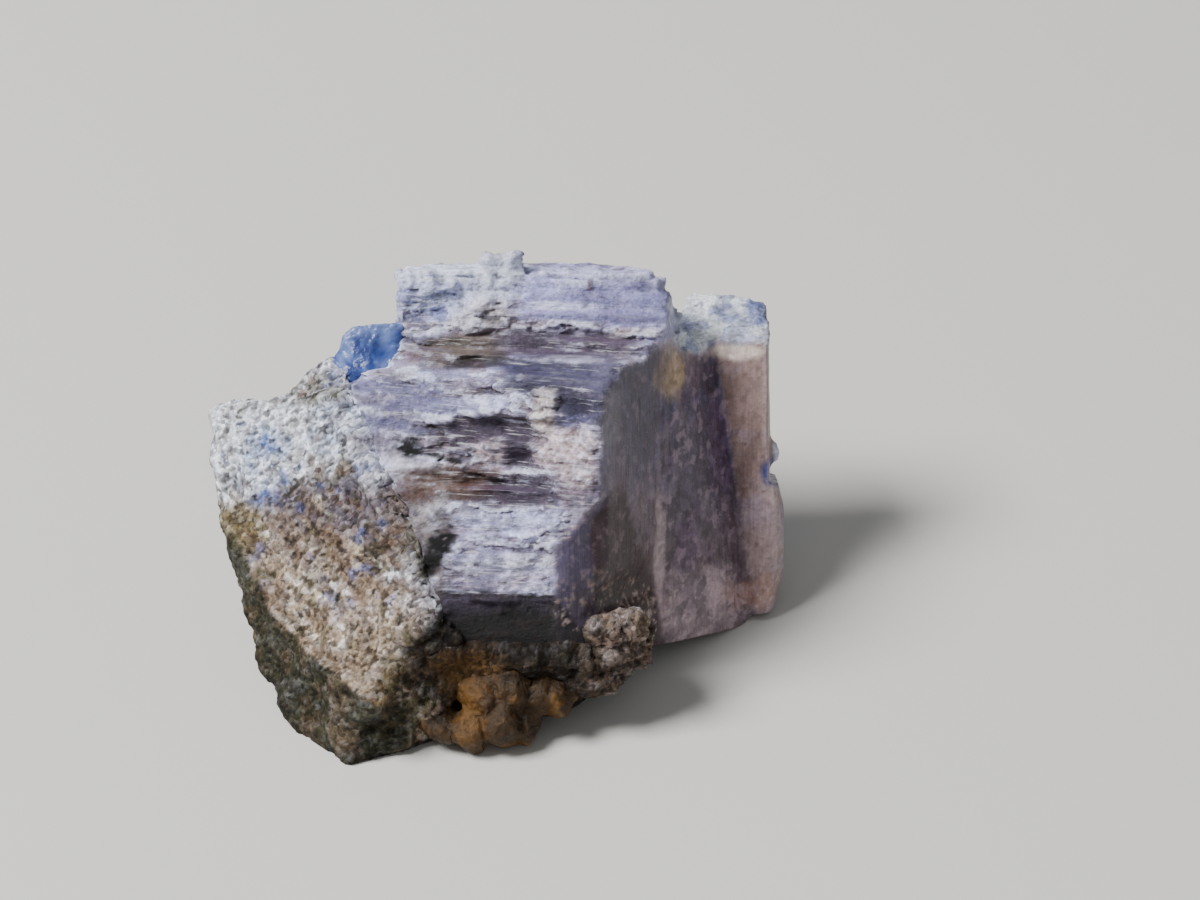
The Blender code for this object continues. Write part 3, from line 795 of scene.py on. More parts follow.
# Facets with straight sides on the smooth dark faces: corners in pixels of the front view
prismShapes = (
    {"tint": "deepGrey", "corners": ((676, 338), (652, 348), (602, 386), (628, 392), (634, 440), (650, 462),
        (660, 400)), "amount": 0.55},
    {"tint": "greyPatch", "corners": ((590, 388), (602, 384), (622, 394), (624, 438), (608, 446), (590, 448)),
        "amount": 0.6},
    {"tint": "brownFacet", "corners": ((622, 492), (631, 512), (641, 548), (658, 600), (664, 650), (600, 650),
        (590, 560), (589, 536), (594, 516)), "amount": 0.9},
    {"tint": "bevel", "corners": ((552, 537), (570, 526), (589, 520), (590, 560), (600, 650), (560, 650),
        (550, 580)), "amount": 0.6},
    # near-black corner at the foot of the bevel: painted shade
    {"tint": "deep", "corners": ((540, 590), (560, 604), (594, 642), (600, 668), (540, 668)), "amount": 0.85},
    {"tint": "facet", "corners": ((717, 346), (720, 388), (696, 392), (690, 384), (704, 360)), "amount": 0.4},
    {"tint": "purple", "corners": ((721, 398), (728, 440), (733, 484), (716, 486), (709, 440), (708, 402)),
        "amount": 0.5},
    {"tint": "purple", "corners": ((678, 524), (694, 520), (698, 560), (690, 572), (676, 568)), "amount": 0.5},
)
# Other places on the front view that the crystal's shape and colours use
crystalPlaces = {
    "foot": {"at": (622, 582), "size": (52, 40)},
    "crumbs": {"at": (618, 604), "size": (50, 24), "soft": 0.7},
    "wallFoot": {"at": (580, 331), "size": (96, 9)},
    "band": {"at": (510, 622), "size": (86, 26), "turn": 2, "soft": 0.2},
    "bandMiddle": 520,
    "bandFade": (588, 616),
    "columnTopFoot": 348,
}
# Marks on the smooth dark faces and the end column
prismMarks = (
    markAt("mauve", (632, 470), (34, 60), 0.18),
    markAt("deepGrey", (640, 400), (22, 54), 0.5, turn=8),
    markAt("deepGrey", (636, 456), (20, 22), 0.4, soft=0.25),
    markAt("bevel", (572, 566), (30, 50), 0.6, soft=0.25),
    # near-black patch low on the foot: painted shade
    markAt("deep", (566, 622), (24, 30), 0.7, turn=20),
    markAt("facet", (614, 500), (10, 16), 0.6, turn=35),
    markAt("rust", (640, 590), (14, 44), 0.45),
    markAt("prismWarm", (600, 610), (30, 24), 0.5),
    markAt("cream", (597, 530), (11, 3), 0.3, turn=68, ragged=0.9),
    markAt("pink", (660, 560), (5, 68), 0.72, turn=1, ragged=0.9),
    markAt("pink", (764, 545), (20, 66), 0.34, ragged=0.7),
    markAt("mauve", (690, 470), (26, 70), 0.28, ragged=0.9),
    markAt("yellow", (671, 368), (15, 33), 0.95, turn=8, ragged=0.8),
    markAt("cream", (670, 348), (9, 10), 0.35),
    markAt("mauve", (694, 368), (8, 28), 0.6, turn=5),
    markAt("purple", (722, 448), (11, 54), 0.22, turn=-9),
    markAt("purple", (687, 545), (10, 24), 0.65),
    markAt("bevel", (700, 480), (30, 60), 0.35),
    markAt("lowMauve", (702, 606), (48, 38), 0.8),
    markAt("bevel", (690, 590), (18, 26), 0.4),
    markAt("orange", (746, 592), (20, 16), 0.3, turn=-30, ragged=0.9),
    markAt("cream", (738, 352), (26, 8), 0.8),
    markAt("orange", (764, 590), (12, 22), 0.18, ragged=0.8),
    markAt("blue", (757, 310), (14, 16), 0.8),
    markAt("blue", (726, 313), (17, 8), 0.5),
    markAt("blueDeep", (773, 472), (11, 14), 0.95),
    markAt("crest", (781, 450), (7, 13), 0.85),
)


def crystalMix(base, name, share):
    return mixed(base, crystalTints[name], share)


def sheetRagged(a, p, c, seed):
    # Torn edges that follow the cleavage sheets
    level = np.floor((c + a * 0.02) / 0.15)
    torn = softNoise(stretched(a, p, level, 1.1, 0.8, 4.7), seed) * 0.6
    return torn + layeredNoise(stretched(a, p, c, 2.2, 2.2, 2.6), 3, seed + 3) * 0.6


def sheetRelief(a, p, c):
    # Cleavage sheets: each juts out or stands back by its own amount, which changes along it
    warp = layeredNoise(stretched(a, p, c, 0.35, 0.35, 0.3), 2, 3) * 0.35 + np.abs(a - 0.5) * 0.06
    push = np.zeros(len(a))
    for order, (thickness, step) in enumerate(zip(crystalLook["sheets"], crystalLook["sheetSteps"])):
        level = (c + warp) / thickness
        sheet = np.floor(level)
        reach = (0.4, 0.8, 1.5)[order]
        jut = softNoise(np.stack((a * reach, p * reach * 0.6, sheet * 5.37), axis=1), 11 + order)
        chip = softNoise(np.stack((a * reach * 3.1, p * reach * 2.0, sheet * 3.11), axis=1), 16 + order)
        lip = (level - sheet - 0.5) * 0.3  # each sheet leans out a little at its top
        push += (jut * 0.7 + chip * 0.5 + lip) * step
    return push


def chips(a, p, c, width, height, seed):
    # Fragments of broken plates: a random value that each one has to itself
    warp = layeredNoise(stretched(a, p, c, 1.1, 1.1, 2.2), 3, seed + 20)
    up = (c + a * 0.03 + warp * 0.16) / height
    return grainNoise(np.stack(((a + warp * 0.7) / width, p / width * 0.7, up), axis=1), seed)[1]


def darkEdge(a, p, c):
    # Where the smooth dark faces begin: along the prism's edge, then along the bevel below it
    bound = np.interp(c, (-0.65, -0.12, 1.1), (2.43, 2.96, 4.26))
    torn = layeredNoise(stretched(a, p, c, 1.6, 1.6, 2.6), 3, 66) * 0.4 * ramp(-c, -0.9, 0.3)
    behind = np.maximum(crystalFrame["edgeForward"] - p, 0.0) * crystalFrame["edgeSlope"]
    lower = ramp(-c, -0.5, 0.5)
    return ramp(a - bound - behind + torn, -0.10 - 0.10 * lower, 0.10 + 0.12 * lower)


def crystalZones(piece, places, normals):
    # Which part of the crystal each point belongs to
    a, p, c = crystalPlace(places)
    steep = 1.0 - np.abs(normals @ upAxis)  # 1 on upright faces, 0 on the cleavage
    flat = ramp(normals @ prismNormal, 0.80, 0.94) * ramp(a, 2.2, 2.6)
    below = darkEdge(a, p, c) * ramp(-c, -1.4, -1.0) * facingView(normals, -0.2, 0.0)
    second = crystalFrame["secondEdge"] + (crystalFrame["edgeForward"] - p) * crystalFrame["edgeSlope"]
    rightGroup = ramp(a - second, -0.12, 0.12)  # second crystal and end column
    smooth = np.maximum(np.maximum(flat, below), rightGroup * ramp(steep, 0.3, 0.7))
    smooth = np.clip(neighbourMean(piece, smooth, 2), 0.0, 1.0)
    return {"steep": steep, "flat": flat, "below": below, "right": rightGroup, "smooth": smooth}


def wearPlates(piece, near):
    # Wears the solid's plain plates away, so that the relief is made on a smooth face
    places = pointsOf(piece)
    normals = normalsOf(piece)
    c = crystalPlace(places)[2]
    x, y = seenAt(places)
    zones = crystalZones(piece, places, normals)
    front = ramp(neighbourMean(piece, zones["steep"], 14), 0.12, 0.35) * (1.0 - zones["smooth"])
    front = front * (1.0 - ramp(c, 9.0, 9.5)) * ramp(c, -3.3, -2.7)
    foot = patch(x, y, crystalPlaces["foot"], 0.0) * facingView(normals, -0.3, -0.1)
    low = zones["below"] * ramp((1.0 - zones["flat"]) * ramp(-c, 0.4, 1.2), 0.0, 0.6)
    worn = np.maximum(front, low) * ramp(near, 0.2, 0.6)
    worn = np.maximum(worn, foot * ramp(near, 0.15, 0.4))
    share = neighbourMean(piece, worn, 6)[:, None] * crystalLook["wearShare"]
    setPoints(piece, places + (wornPlaces(piece, crystalLook["wear"]) - places) * share)


def sculptCrystal(piece):
    near = closeness(pointsOf(piece), "matrix_rock", 4.0)[0]
    wearPlates(piece, near)
    places = pointsOf(piece)
    normals = normalsOf(piece)
    a, p, c = crystalPlace(places)
    x, y = seenAt(places)
    facing = facingView(normals, 0.0, 0.25)
    zones = crystalZones(piece, places, normals)
    steep, rightGroup, smooth = (zones[key] for key in ("steep", "right", "smooth"))
    low = ramp(-c, 2.6, 3.4)  # the crystal's lower edge, which the rock also touches
    wander = layeredNoise(places / mm * 0.7, 3, 23)
    grainy = (1.0 - ramp(near + wander * 1.4, 0.6, crystalLook["seamWidth"])) * (1.0 - low)
    broken = ramp(neighbourMean(piece, steep, 6), 0.12, 0.45) * (1.0 - smooth)

    ragged = sheetRagged(a, p, c, 53)
    calm = np.zeros(len(a))
    rise = np.zeros(len(a))
    hushed = np.zeros(len(a))  # dark marks, where few white flakes show
    rough = 0.25 + 0.6 * ramp(layeredNoise(stretched(a, p, c, 0.5, 0.5, 0.8), 2, 24), -0.1, 0.4)
    for mark in crystalMarks:
        share = patch(x, y, mark, ragged, 4.0) * facing * (1.0 - rightGroup)
        rise = rise * (1.0 - share) + mark.get("rise", 0.0) * share
        calm = calm * (1.0 - share) + mark.get("calm", 0.0) * share
        rough = rough * (1.0 - share) + crystalLook["chunky"].get(mark["tint"], 0.3) * share
        grainy = np.maximum(grainy, share * mark.get("rocky", 0.0))
        hushed = hushed * (1.0 - share) + share * (mark["tint"] in crystalLook["dark"])

    outward = normals - np.outer(normals @ upAxis, upAxis)
    outward /= np.maximum(np.linalg.norm(outward, axis=1), 0.05)[:, None]
    large = chips(a, p, c, *crystalLook["largeChips"], 141)
    small = chips(a, p, c, *crystalLook["smallChips"], 151)
    plates = (large - 0.5) * crystalLook["chipSteps"][0] + (small - 0.5) * crystalLook["chipSteps"][1]
    sheets = (sheetRelief(a, p, c) * 0.4 + plates) * (1.0 - calm) * (1.0 - rough * 0.3)
    chunks = ridgedNoise(stretched(a, p, c, 1.2, 1.2, 1.9), 4, 26) * crystalLook["chunkStep"] * rough
    grains = rockGrains(places)
    push = ((sheets + chunks) * (1.0 - grainy) + rise + rockRelief(places, grains) * grainy) * broken

    # Fine upright lines on the prism faces
    side = stretched(a, p, c, 5.5, 5.5, 0.35)
    lines = softNoise(side, 31) * 0.6 + softNoise(side * np.array((2.3, 2.3, 1.0)), 32) * 0.4
    push += lines * crystalLook["striaStep"] * smooth
    push += layeredNoise(stretched(a, p, c, 1.2, 1.2, 0.8), 2, 33) * 0.07 * smooth
    grainTop = ramp(a, 7.5, 8.1) * ramp(c + p * 0.6, 2.6, 3.4)  # grainy top of the end column
    grainTop *= np.maximum(1.0 - facing, ramp(crystalPlaces["columnTopFoot"] - y + wander * 14.0, -5, 5))
    push += ridgedNoise(places / mm * 1.1, 3, 41) * 0.16 * grainTop
    crest = ramp(c, 8.4, 9.4) * (1.0 - rightGroup)
    push += ridgedNoise(places / mm * 0.8, 3, 43) * 0.18 * crest
    direction = np.where((grainTop + crest)[:, None] > 0.3, normals, outward)
    base = ramp(places[:, 2] / mm, 0.0, 0.5)
    hold = ramp(near, 0.1, 0.7)  # left in place where the rock meets it
    setPoints(piece, places + direction * (push * base * hold)[:, None] * mm)
    return {"smooth": smooth, "broken": broken, "grainTop": grainTop, "right": rightGroup,
            "grainy": grainy, "near": near, "rough": rough, "calm": calm, "hushed": hushed, "grains": grains,
            "large": large, "small": small}


def prismColours(places, axes, seen, cloud, edge, facing, right):
    # Dark prism faces: grey-violet with upright streaks, warmer low down, paler on the end column
    a, p, c = axes
    x, y = seen
    upright = softNoise(stretched(a, p, c, 2.2, 2.2, 0.25), 61) * 0.5
    upright += softNoise(stretched(a, p, c, 0.8, 0.8, 0.4), 62) * 0.5
    mottle = layeredNoise(stretched(a, p, c, 1.5, 1.5, 1.3), 5, 63)
    speckle = layeredNoise(places / mm * 4.5, 3, 65)
    cellValue = grainNoise(stretched(a, p, c, 1.3, 1.3, 0.8) + mottle[:, None] * 0.9, 67)[1]
    dark = crystalMix(crystalTints["prism"], "bevel", ramp(upright, 0.0, 0.7) * 0.6)
    dark = crystalMix(dark, "prismWarm", ramp(-c + upright * 2.0 + mottle * 3.0, -3.5, 2.0) * 0.7)
    dark = crystalMix(dark, "mauve", ramp(mottle, 0.15, 0.5) * 0.3)
    dark = crystalMix(dark, "facet", ramp(-mottle, 0.12, 0.4) * 0.5)
    dark = crystalMix(dark, "purple", ramp(cloud - mottle * 0.5, 0.2, 0.5) * 0.35)
    crease = crystalFrame["columnEdge"] + (crystalFrame["columnLevel"] - c) * crystalFrame["columnSlope"]
    onColumn = ramp(a - crease, -0.05, 0.25)
    pale = crystalMix(crystalTints["column"], "lilac", ramp(cloud, 0.0, 0.5) * 0.25)
    pale = crystalMix(pale, "prismWarm", ramp(mottle - cloud * 0.4, 0.1, 0.6) * 0.4)
    dark = mixed(dark, pale, onColumn)
    upRagged = layeredNoise(stretched(a, p, c, 2.6, 2.6, 1.1), 4, 64) * 0.9
    for mark in prismMarks:
        dark = crystalMix(dark, mark["tint"], patch(x, y, mark, upRagged) * mark["amount"] * facing)
    for shape in prismShapes:
        share = insideShape(x + upRagged * 5.0, y + mottle * 6.0, shape["corners"], 3.0)
        dark = crystalMix(dark, shape["tint"], share * shape["amount"] * facing)
    dark = dark * (1.0 + (cellValue - 0.5) * 0.28 * (0.5 + 0.5 * right))[:, None]
    gritValue = grainNoise(places / mm * 3.0 + speckle[:, None] * 0.5, 69)[1]
    gritty = right * (1.0 - onColumn * 0.6)
    dark = dark * (1.0 + (gritValue - 0.5) * 0.7 * gritty)[:, None]
    dark = crystalMix(dark, "lowMauve", ramp(gritValue, 0.84, 0.90) * 0.35 * gritty)
    crumbs = patch(x, y, crystalPlaces["crumbs"], upRagged) * facing  # crust scattered over the foot
    dark = rockMix(dark, "sand", crumbs * ramp(speckle + gritValue * 0.3, 0.30, 0.42) * 0.6)
    dark = rockMix(dark, "soil", crumbs * ramp(-speckle, 0.05, 0.3) * 0.5)
    bits = ramp(speckle, 0.25, 0.45) * (0.12 + 0.5 * ramp(-c, 2.5, 5.0))
    dark = crystalMix(dark, "pink", bits)
    dark = crystalMix(dark, "facet", ramp(-speckle, 0.25, 0.45) * 0.3)
    # pinker on ridges: painted highlight
    dark = crystalMix(dark, "pink", ramp(edge, 0.012, 0.04) * 0.4)
    paleSide = ramp(c, 6.6, 7.6) * (1.0 - onColumn)
    dark = mixed(dark, crystalMix(crystalTints["lilac"], "flake", ramp(mottle, -0.1, 0.3)),
        paleSide * 0.85)
    return dark


def topColours(places, seen, edge, ragged):
    # The grainy top of the end column: white, pale blue and green grains
    x, y = seen
    value = grainNoise(places / mm * 1.9, 57)[1]
    top = crystalMix(crystalTints["columnTop"], "paleBlue", ramp(value, 0.5, 0.6) * 0.7)
    top = rockMix(top, "green", ramp(value, 0.82, 0.86) * 0.4)
    for mark in prismMarks:
        if mark["tint"] == "blue":
            top = crystalMix(top, "blue", patch(x, y, mark, ragged) * mark["amount"])
    # darker in hollows: painted shade
    top = crystalMix(top, "dirt", ramp(-edge, 0.02, 0.07) * 0.5)
    return top


def paintCrystal(piece, parts):
    places = pointsOf(piece)
    normals = normalsOf(piece)
    a, p, c = crystalPlace(places)
    x, y = seenAt(places)
    edge = edgeAmount(piece, places, normals, 3)
    wide = edgeAmount(piece, places, normals, 14)
    smooth, broken, grainTop, right = (parts[key] for key in ("smooth", "broken", "grainTop", "right"))
    cloud = layeredNoise(stretched(a, p, c, 0.45, 0.45, 0.9), 3, 52)
    streak = layeredNoise(stretched(a, p, c, 0.5, 0.5, 2.4), 3, 51)
    level = np.floor((c + a * 0.03) / 0.12)
    thin = softNoise(stretched(a, p, level, 0.9, 0.9, 3.3), 54)
    ragged = sheetRagged(a, p, c, 53)
    facing = facingView(normals, 0.0, 0.25)

    tint = crystalMix(crystalTints["lilac"], "window",
        ramp(streak * 0.5 - cloud * 0.9 + thin * 0.1, 0.0, 0.5) * 0.7)
    tint = crystalMix(tint, "flake", ramp(streak * 0.4 + cloud * 0.9, 0.1, 0.5) * 0.7)
    tint = crystalMix(tint, "pink",
        ramp(layeredNoise(stretched(a, p, c, 0.6, 0.6, 1.1), 3, 55), 0.1, 0.45) * 0.5)
    glassy = ramp(parts["calm"], 0.9, 0.95)  # the smooth rear wall
    for mark in crystalMarks:
        share = patch(x, y, mark, ragged, 4.0) * facing * (1.0 - right)
        rim = share * (1.0 - share) * 4.0
        tint = crystalMix(tint, mark["tint"], share * mark["amount"])
        if mark["tint"] == "window":
            tint = crystalMix(tint, "flake", rim * ramp(thin, 0.0, 0.5) * 0.5 + share * ramp(thin, 0.4, 0.7) * 0.3)
    tint = tint * (1.0 + thin * 0.14 * broken * (1.0 - parts["calm"] * 0.7))[:, None]
    unhushed = (1.0 - parts["calm"] * 0.8) * (1.0 - parts["hushed"] * 0.65)
    tint = crystalMix(tint, "flake", ramp(parts["large"], 0.66, 0.72) * 0.5 * unhushed)
    tint = crystalMix(tint, "window", (1.0 - ramp(parts["large"], 0.26, 0.32)) * 0.65 * (1.0 - parts["calm"] * 0.8))
    tint = crystalMix(tint, "flake", ramp(parts["small"], 0.74, 0.80) * 0.5 * unhushed)
    tint = crystalMix(tint, "mauve", (1.0 - ramp(parts["small"], 0.20, 0.26)) * 0.6 * (1.0 - parts["calm"] * 0.8))
    mottled = layeredNoise(stretched(a, p, c, 2.4, 2.4, 3.6), 4, 71)
    tint = tint * (1.0 + mottled * 0.85 * broken * (1.0 - glassy * 0.7))[:, None]
    speckled = layeredNoise(stretched(a, p, c, 4.0, 4.0, 6.0), 2, 72)
    tint = tint * (1.0 + speckled * 0.4 * broken * (1.0 - glassy * 0.6))[:, None]
    tint = crystalMix(tint, "shade", ramp(cloud * 0.7 - mottled * 0.8, 0.1, 0.4) * 0.45 * broken * (1.0 - glassy))
    fall = layeredNoise(stretched(a, p, c, 2.6, 2.6, 0.5), 3, 59) * 0.26 + cloud * 0.26
    tint = tint * (1.0 + fall * glassy)[:, None]
    warm = layeredNoise(stretched(a, p, c, 0.9, 0.9, 1.6), 4, 58)
    tint = crystalMix(tint, "rust", ramp(warm, 0.22, 0.5) * 0.5 * (1.0 - parts["calm"] * 0.7) *
        ramp(7.4 - c, 0.0, 1.0))
    # whiter on ridges: white broken flakes with a painted highlight along the edges
    tint = crystalMix(tint, "flake", ramp(edge, 0.02, 0.07) * 0.55 * (1.0 - parts["hushed"] * 0.8))
    # darker in small hollows: painted shade
    tint = crystalMix(tint, "dirt", ramp(-edge, 0.02, 0.07) * 0.5)
    # darker still in deep creases, less at the foot of the rear wall: painted shade
    foot = patch(x, y, crystalPlaces["wallFoot"], ragged * 0.4) * facing
    tint = crystalMix(tint, "crevice", ramp(-edge, 0.07, 0.15) * 0.55 * (1.0 - foot * 0.9))
    # darker in broad hollows on the break: painted shade
    tint = crystalMix(tint, "dirt", ramp(-wide, 0.08, 0.3) * 0.35 * broken)
    rocky = rockColours(piece, places, normals, parts["grains"], parts["near"])
    tint = mixed(tint, rocky, parts["grainy"] * (1.0 - smooth) * 0.8)
    fine = layeredNoise(places / mm * 3.2, 3, 60)
    for mark in crystalMarks:
        if mark["tint"] == "black":
            share = patch(x, y, mark, ragged + fine * 0.8) * ramp(fine, -0.45, -0.25)
            tint = crystalMix(tint, "black", share * ramp(fine, -0.42, -0.2) * facing * mark["amount"])
        elif mark["tint"] in crystalLook["dark"] and mark["amount"] >= 0.85 and mark["tint"] != "deep":
            share = patch(x, y, mark, ragged, 4.0) * facing * (1.0 - right)
            tint = crystalMix(tint, mark["tint"], share * 0.8 * (1.0 - ramp(thin, 0.35, 0.6) * 0.6))
    # undersides turned down and the lowest edge made near-black: painted shade
    under = ramp(normals @ -upAxis + ramp(-c, 2.9, 3.6) * 0.8, 0.5, 0.9)
    tint = crystalMix(tint, "deep", under * ramp(-c, 2.0, 3.0) * 0.9)

    # The low band under the break: violet at its top, brown-black below, darker towards the bottom; its darkness is
    # partly painted shade
    band = patch(x, y, crystalPlaces["band"], ragged * 0.25 + fine * 0.12, 4.0) * facing * (1.0 - right)
    down = y + fine * 6.0 - np.abs(x - crystalPlaces["bandMiddle"]) * 0.12
    bandTint = crystalMix(crystalTints["bandViolet"], "deep", ramp(down, *crystalPlaces["bandFade"]))
    bandTint = crystalMix(bandTint, "bandBrown", ramp(mottled, 0.0, 0.4) * 0.6)
    tint = mixed(tint, bandTint, band * 0.9)

    # More contrast on the break: darks darker, lights lighter
    light = np.maximum(tint @ brightness, 0.01)
    strength = (light / crystalLook["contrastMiddle"]) ** crystalLook["contrastPower"]
    strength = 1.0 + (strength - 1.0) * broken * (1.0 - glassy * 0.8)
    strength = np.minimum(strength, crystalLook["brightest"] / np.maximum(tint.max(axis=1), 0.01))
    tint = tint * strength[:, None]

    dark = prismColours(places, (a, p, c), (x, y), cloud, edge, facing, right)
    tint = mixed(tint, dark, np.maximum(smooth, right))
    top = topColours(places, (x, y), edge, ragged)
    tint = mixed(tint, top, grainTop)
    paint(piece, "tint", tint)
    paint(piece, "broken", np.clip(broken + grainTop, 0.0, 1.0))
    paint(piece, "upright", smooth)
    # where painted glints may show on the break
    paint(piece, "sparkle", broken * (1.0 - glassy * 0.7) * (1.0 - parts["grainy"]) *
        ramp(tint @ brightness, 0.015, 0.05) * ramp(c, -3.4, -2.9))
    paint(piece, "layered", np.clip(1.0 - parts["rough"] * 0.7 - parts["grainy"], 0.0, 1.0) * (1.0 - glassy))


def crystalMaterial():
    material, tree, shader = newMaterial("violet carletonite")
    broken = readValue(tree, "broken")
    upright = readValue(tree, "upright")
    layered = readValue(tree, "layered")
    sheets = noiseNode(tree, "cleavage streaks", crystalCoordinates(tree, (2600.0, 2600.0, 8000.0)), 1.0, 5.0, 0.62)
    flecks = noiseNode(tree, "flecks", crystalCoordinates(tree, (4600.0, 4600.0, 6500.0)), 1.0, 5.0, 0.7)
    lines = noiseNode(tree, "upright lines", crystalCoordinates(tree, (9000.0, 9000.0, 700.0)), 1.0, 3.0, 0.6)
    light = mapped(tree, "streak light", sheets, 0.34, 0.66, 0.72, 1.28)
    light = blended(tree, "streaks where layered", layered, 1.0, light)
    fleckLight = mapped(tree, "fleck light", flecks, 0.32, 0.68, 0.6, 1.42)
    lightUp = mapped(tree, "line light", lines, 0.3, 0.7, 0.88, 1.12)
    lightUp = maths(tree, "MULTIPLY", lightUp,
        mapped(tree, "grain light", flecks, 0.3, 0.7, 0.78, 1.24))
    strength = blended(tree, "streaks or lines", upright, maths(tree, "MULTIPLY", light, fleckLight), lightUp)
    tint = add(tree, "ShaderNodeVectorMath", "streaked", {0: readColour(tree, "tint"), "Scale": strength},
        operation="SCALE").outputs[0]
    # painted glints: white mixed into the base colour
    sparks = noiseNode(tree, "sparks", crystalCoordinates(tree, (700.0, 700.0, 15000.0)), 1.0, 3.0, 0.6)
    spark = mapped(tree, "spark share", sparks, 0.56, 0.68, 0.0, 0.46)
    tint = add(tree, "ShaderNodeMix", "sparkling",
        {0: maths(tree, "MULTIPLY", spark, readValue(tree, "sparkle")), 6: tint,
            7: (0.9, 0.9, 0.95, 1.0)}, data_type="RGBA").outputs[2]
    tree.links.new(tint, shader.inputs["Base Color"])
    rough = mapped(tree, "gloss", upright, 0.0, 1.0, crystalLook["roughFace"], crystalLook["smoothFace"])
    glint = mapped(tree, "glints", flecks, 0.58, 0.66, 0.0, -0.32)
    tree.links.new(maths(tree, "ADD", rough, glint), shader.inputs["Roughness"])
    relief = blended(tree, "relief", maths(tree, "MULTIPLY", layered, 0.6), flecks, sheets)
    bumpSheets = add(tree, "ShaderNodeBump", "sheet relief",
        {"Strength": broken, "Distance": 0.00026, "Height": relief})
    bumpLines = add(tree, "ShaderNodeBump", "line relief",
        {"Strength": maths(tree, "MULTIPLY", upright, 0.6), "Distance": 0.00005, "Height": lines,
            "Normal": bumpSheets.outputs[0]})
    tree.links.new(bumpLines.outputs[0], shader.inputs["Normal"])
    shader.inputs["Specular IOR Level"].default_value = crystalLook["specular"]
    shader.inputs["Subsurface Weight"].default_value = crystalLook["subsurface"]
    shader.inputs["Subsurface Radius"].default_value = (0.5, 0.45, 0.7)
    shader.inputs["Subsurface Scale"].default_value = crystalLook["subsurfaceDepth"]
    shader.inputs["IOR"].default_value = crystalLook["index"]
    return material


print("crystal")
crystal = pieceFrom("carletonite_crystal", "terraced_crystal", crystalLook["voxel"])
paintCrystal(crystal, sculptCrystal(crystal))
crystal.data.materials.append(crystalMaterial())
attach(crystal, "root")
print("crystal triangles", sum(len(f.vertices) - 2 for f in crystal.data.polygons))

print("rock")
rock = pieceFrom("matrix_rock", "granular_rock", rockLook["voxel"])
rockParts = sculptRock(rock)
paint(rock, "tint", rockColours(rock, pointsOf(rock), normalsOf(rock), rockParts["grains"], rockParts["near"]))
rock.data.materials.append(rockMaterial())
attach(rock, "root")
print("rock triangles", sum(len(f.vertices) - 2 for f in rock.data.polygons))

# The blue grain
blueLook = {
    "voxel": 0.00006,
    "roughness": 0.3,
    "transmission": 0.35,
    "index": 1.52,
    "tint": colour(58, 88, 166),
    "pale": colour(130, 150, 204),
    "deep": colour(34, 50, 112),
}


def makeBlue():
    piece = pieceFrom("blue_crystal", "blue_grain", blueLook["voxel"])
    growOnto(piece, "carletonite_crystal", 0.9, 0.3)
    growOnto(piece, "matrix_rock", 0.45, 0.15)
    places = pointsOf(piece)
    normals = normalsOf(piece)
    push = layeredNoise(places / mm * 1.2, 4, 101) * 0.22
    setPoints(piece, places + normals * push[:, None] * mm)
    places = pointsOf(piece)
    cloud = layeredNoise(places / mm * 1.6, 3, 102)
    edge = edgeAmount(piece, places, normalsOf(piece), 4)
    up = ramp(normalsOf(piece)[:, 2], 0.3, 0.9)
    tint = mixed(blueLook["tint"], blueLook["deep"], ramp(-cloud, 0.0, 0.4) * 0.7)
    # paler on ridges and on faces turned up: painted highlight; paler towards the top too
    tint = mixed(tint, blueLook["pale"], ramp(cloud + edge * 6.0 + up * 0.3, 0.15, 0.6) * 0.7)
    height = (places[:, 2] - places[:, 2].min()) / np.ptp(places[:, 2])
    tint = mixed(tint, blueLook["pale"], ramp(height + cloud * 0.5, 0.5, 0.9) * 0.65)
    paint(piece, "tint", tint)
    material, tree, shader = newMaterial("blue carletonite")
    tree.links.new(readColour(tree, "tint"), shader.inputs["Base Color"])
    place = add(tree, "ShaderNodeTexCoord").outputs["Object"]
    haze = noiseNode(tree, "surface", place, 5000.0, 4.0)
    bump = add(tree, "ShaderNodeBump", "surface relief", {"Strength": 0.5, "Distance": 0.0001, "Height": haze})
    tree.links.new(bump.outputs[0], shader.inputs["Normal"])
    shader.inputs["Roughness"].default_value = blueLook["roughness"]
    shader.inputs["Transmission Weight"].default_value = blueLook["transmission"]
    shader.inputs["IOR"].default_value = blueLook["index"]
    piece.data.materials.append(material)
    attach(piece, "root")
    return piece


print("blue crystal")
blue = makeBlue()

# The honey-brown crystals under the front
honeyLook = {
    "voxel": 0.00007,
    "roughness": 0.46,
    "transmission": 0.25,
    "specular": 0.18,
    "index": 1.55,
    "gold": colour(100, 68, 26),
    "brown": colour(62, 42, 16),
    "dark": colour(32, 21, 8),
    "pale": colour(136, 100, 50),
}


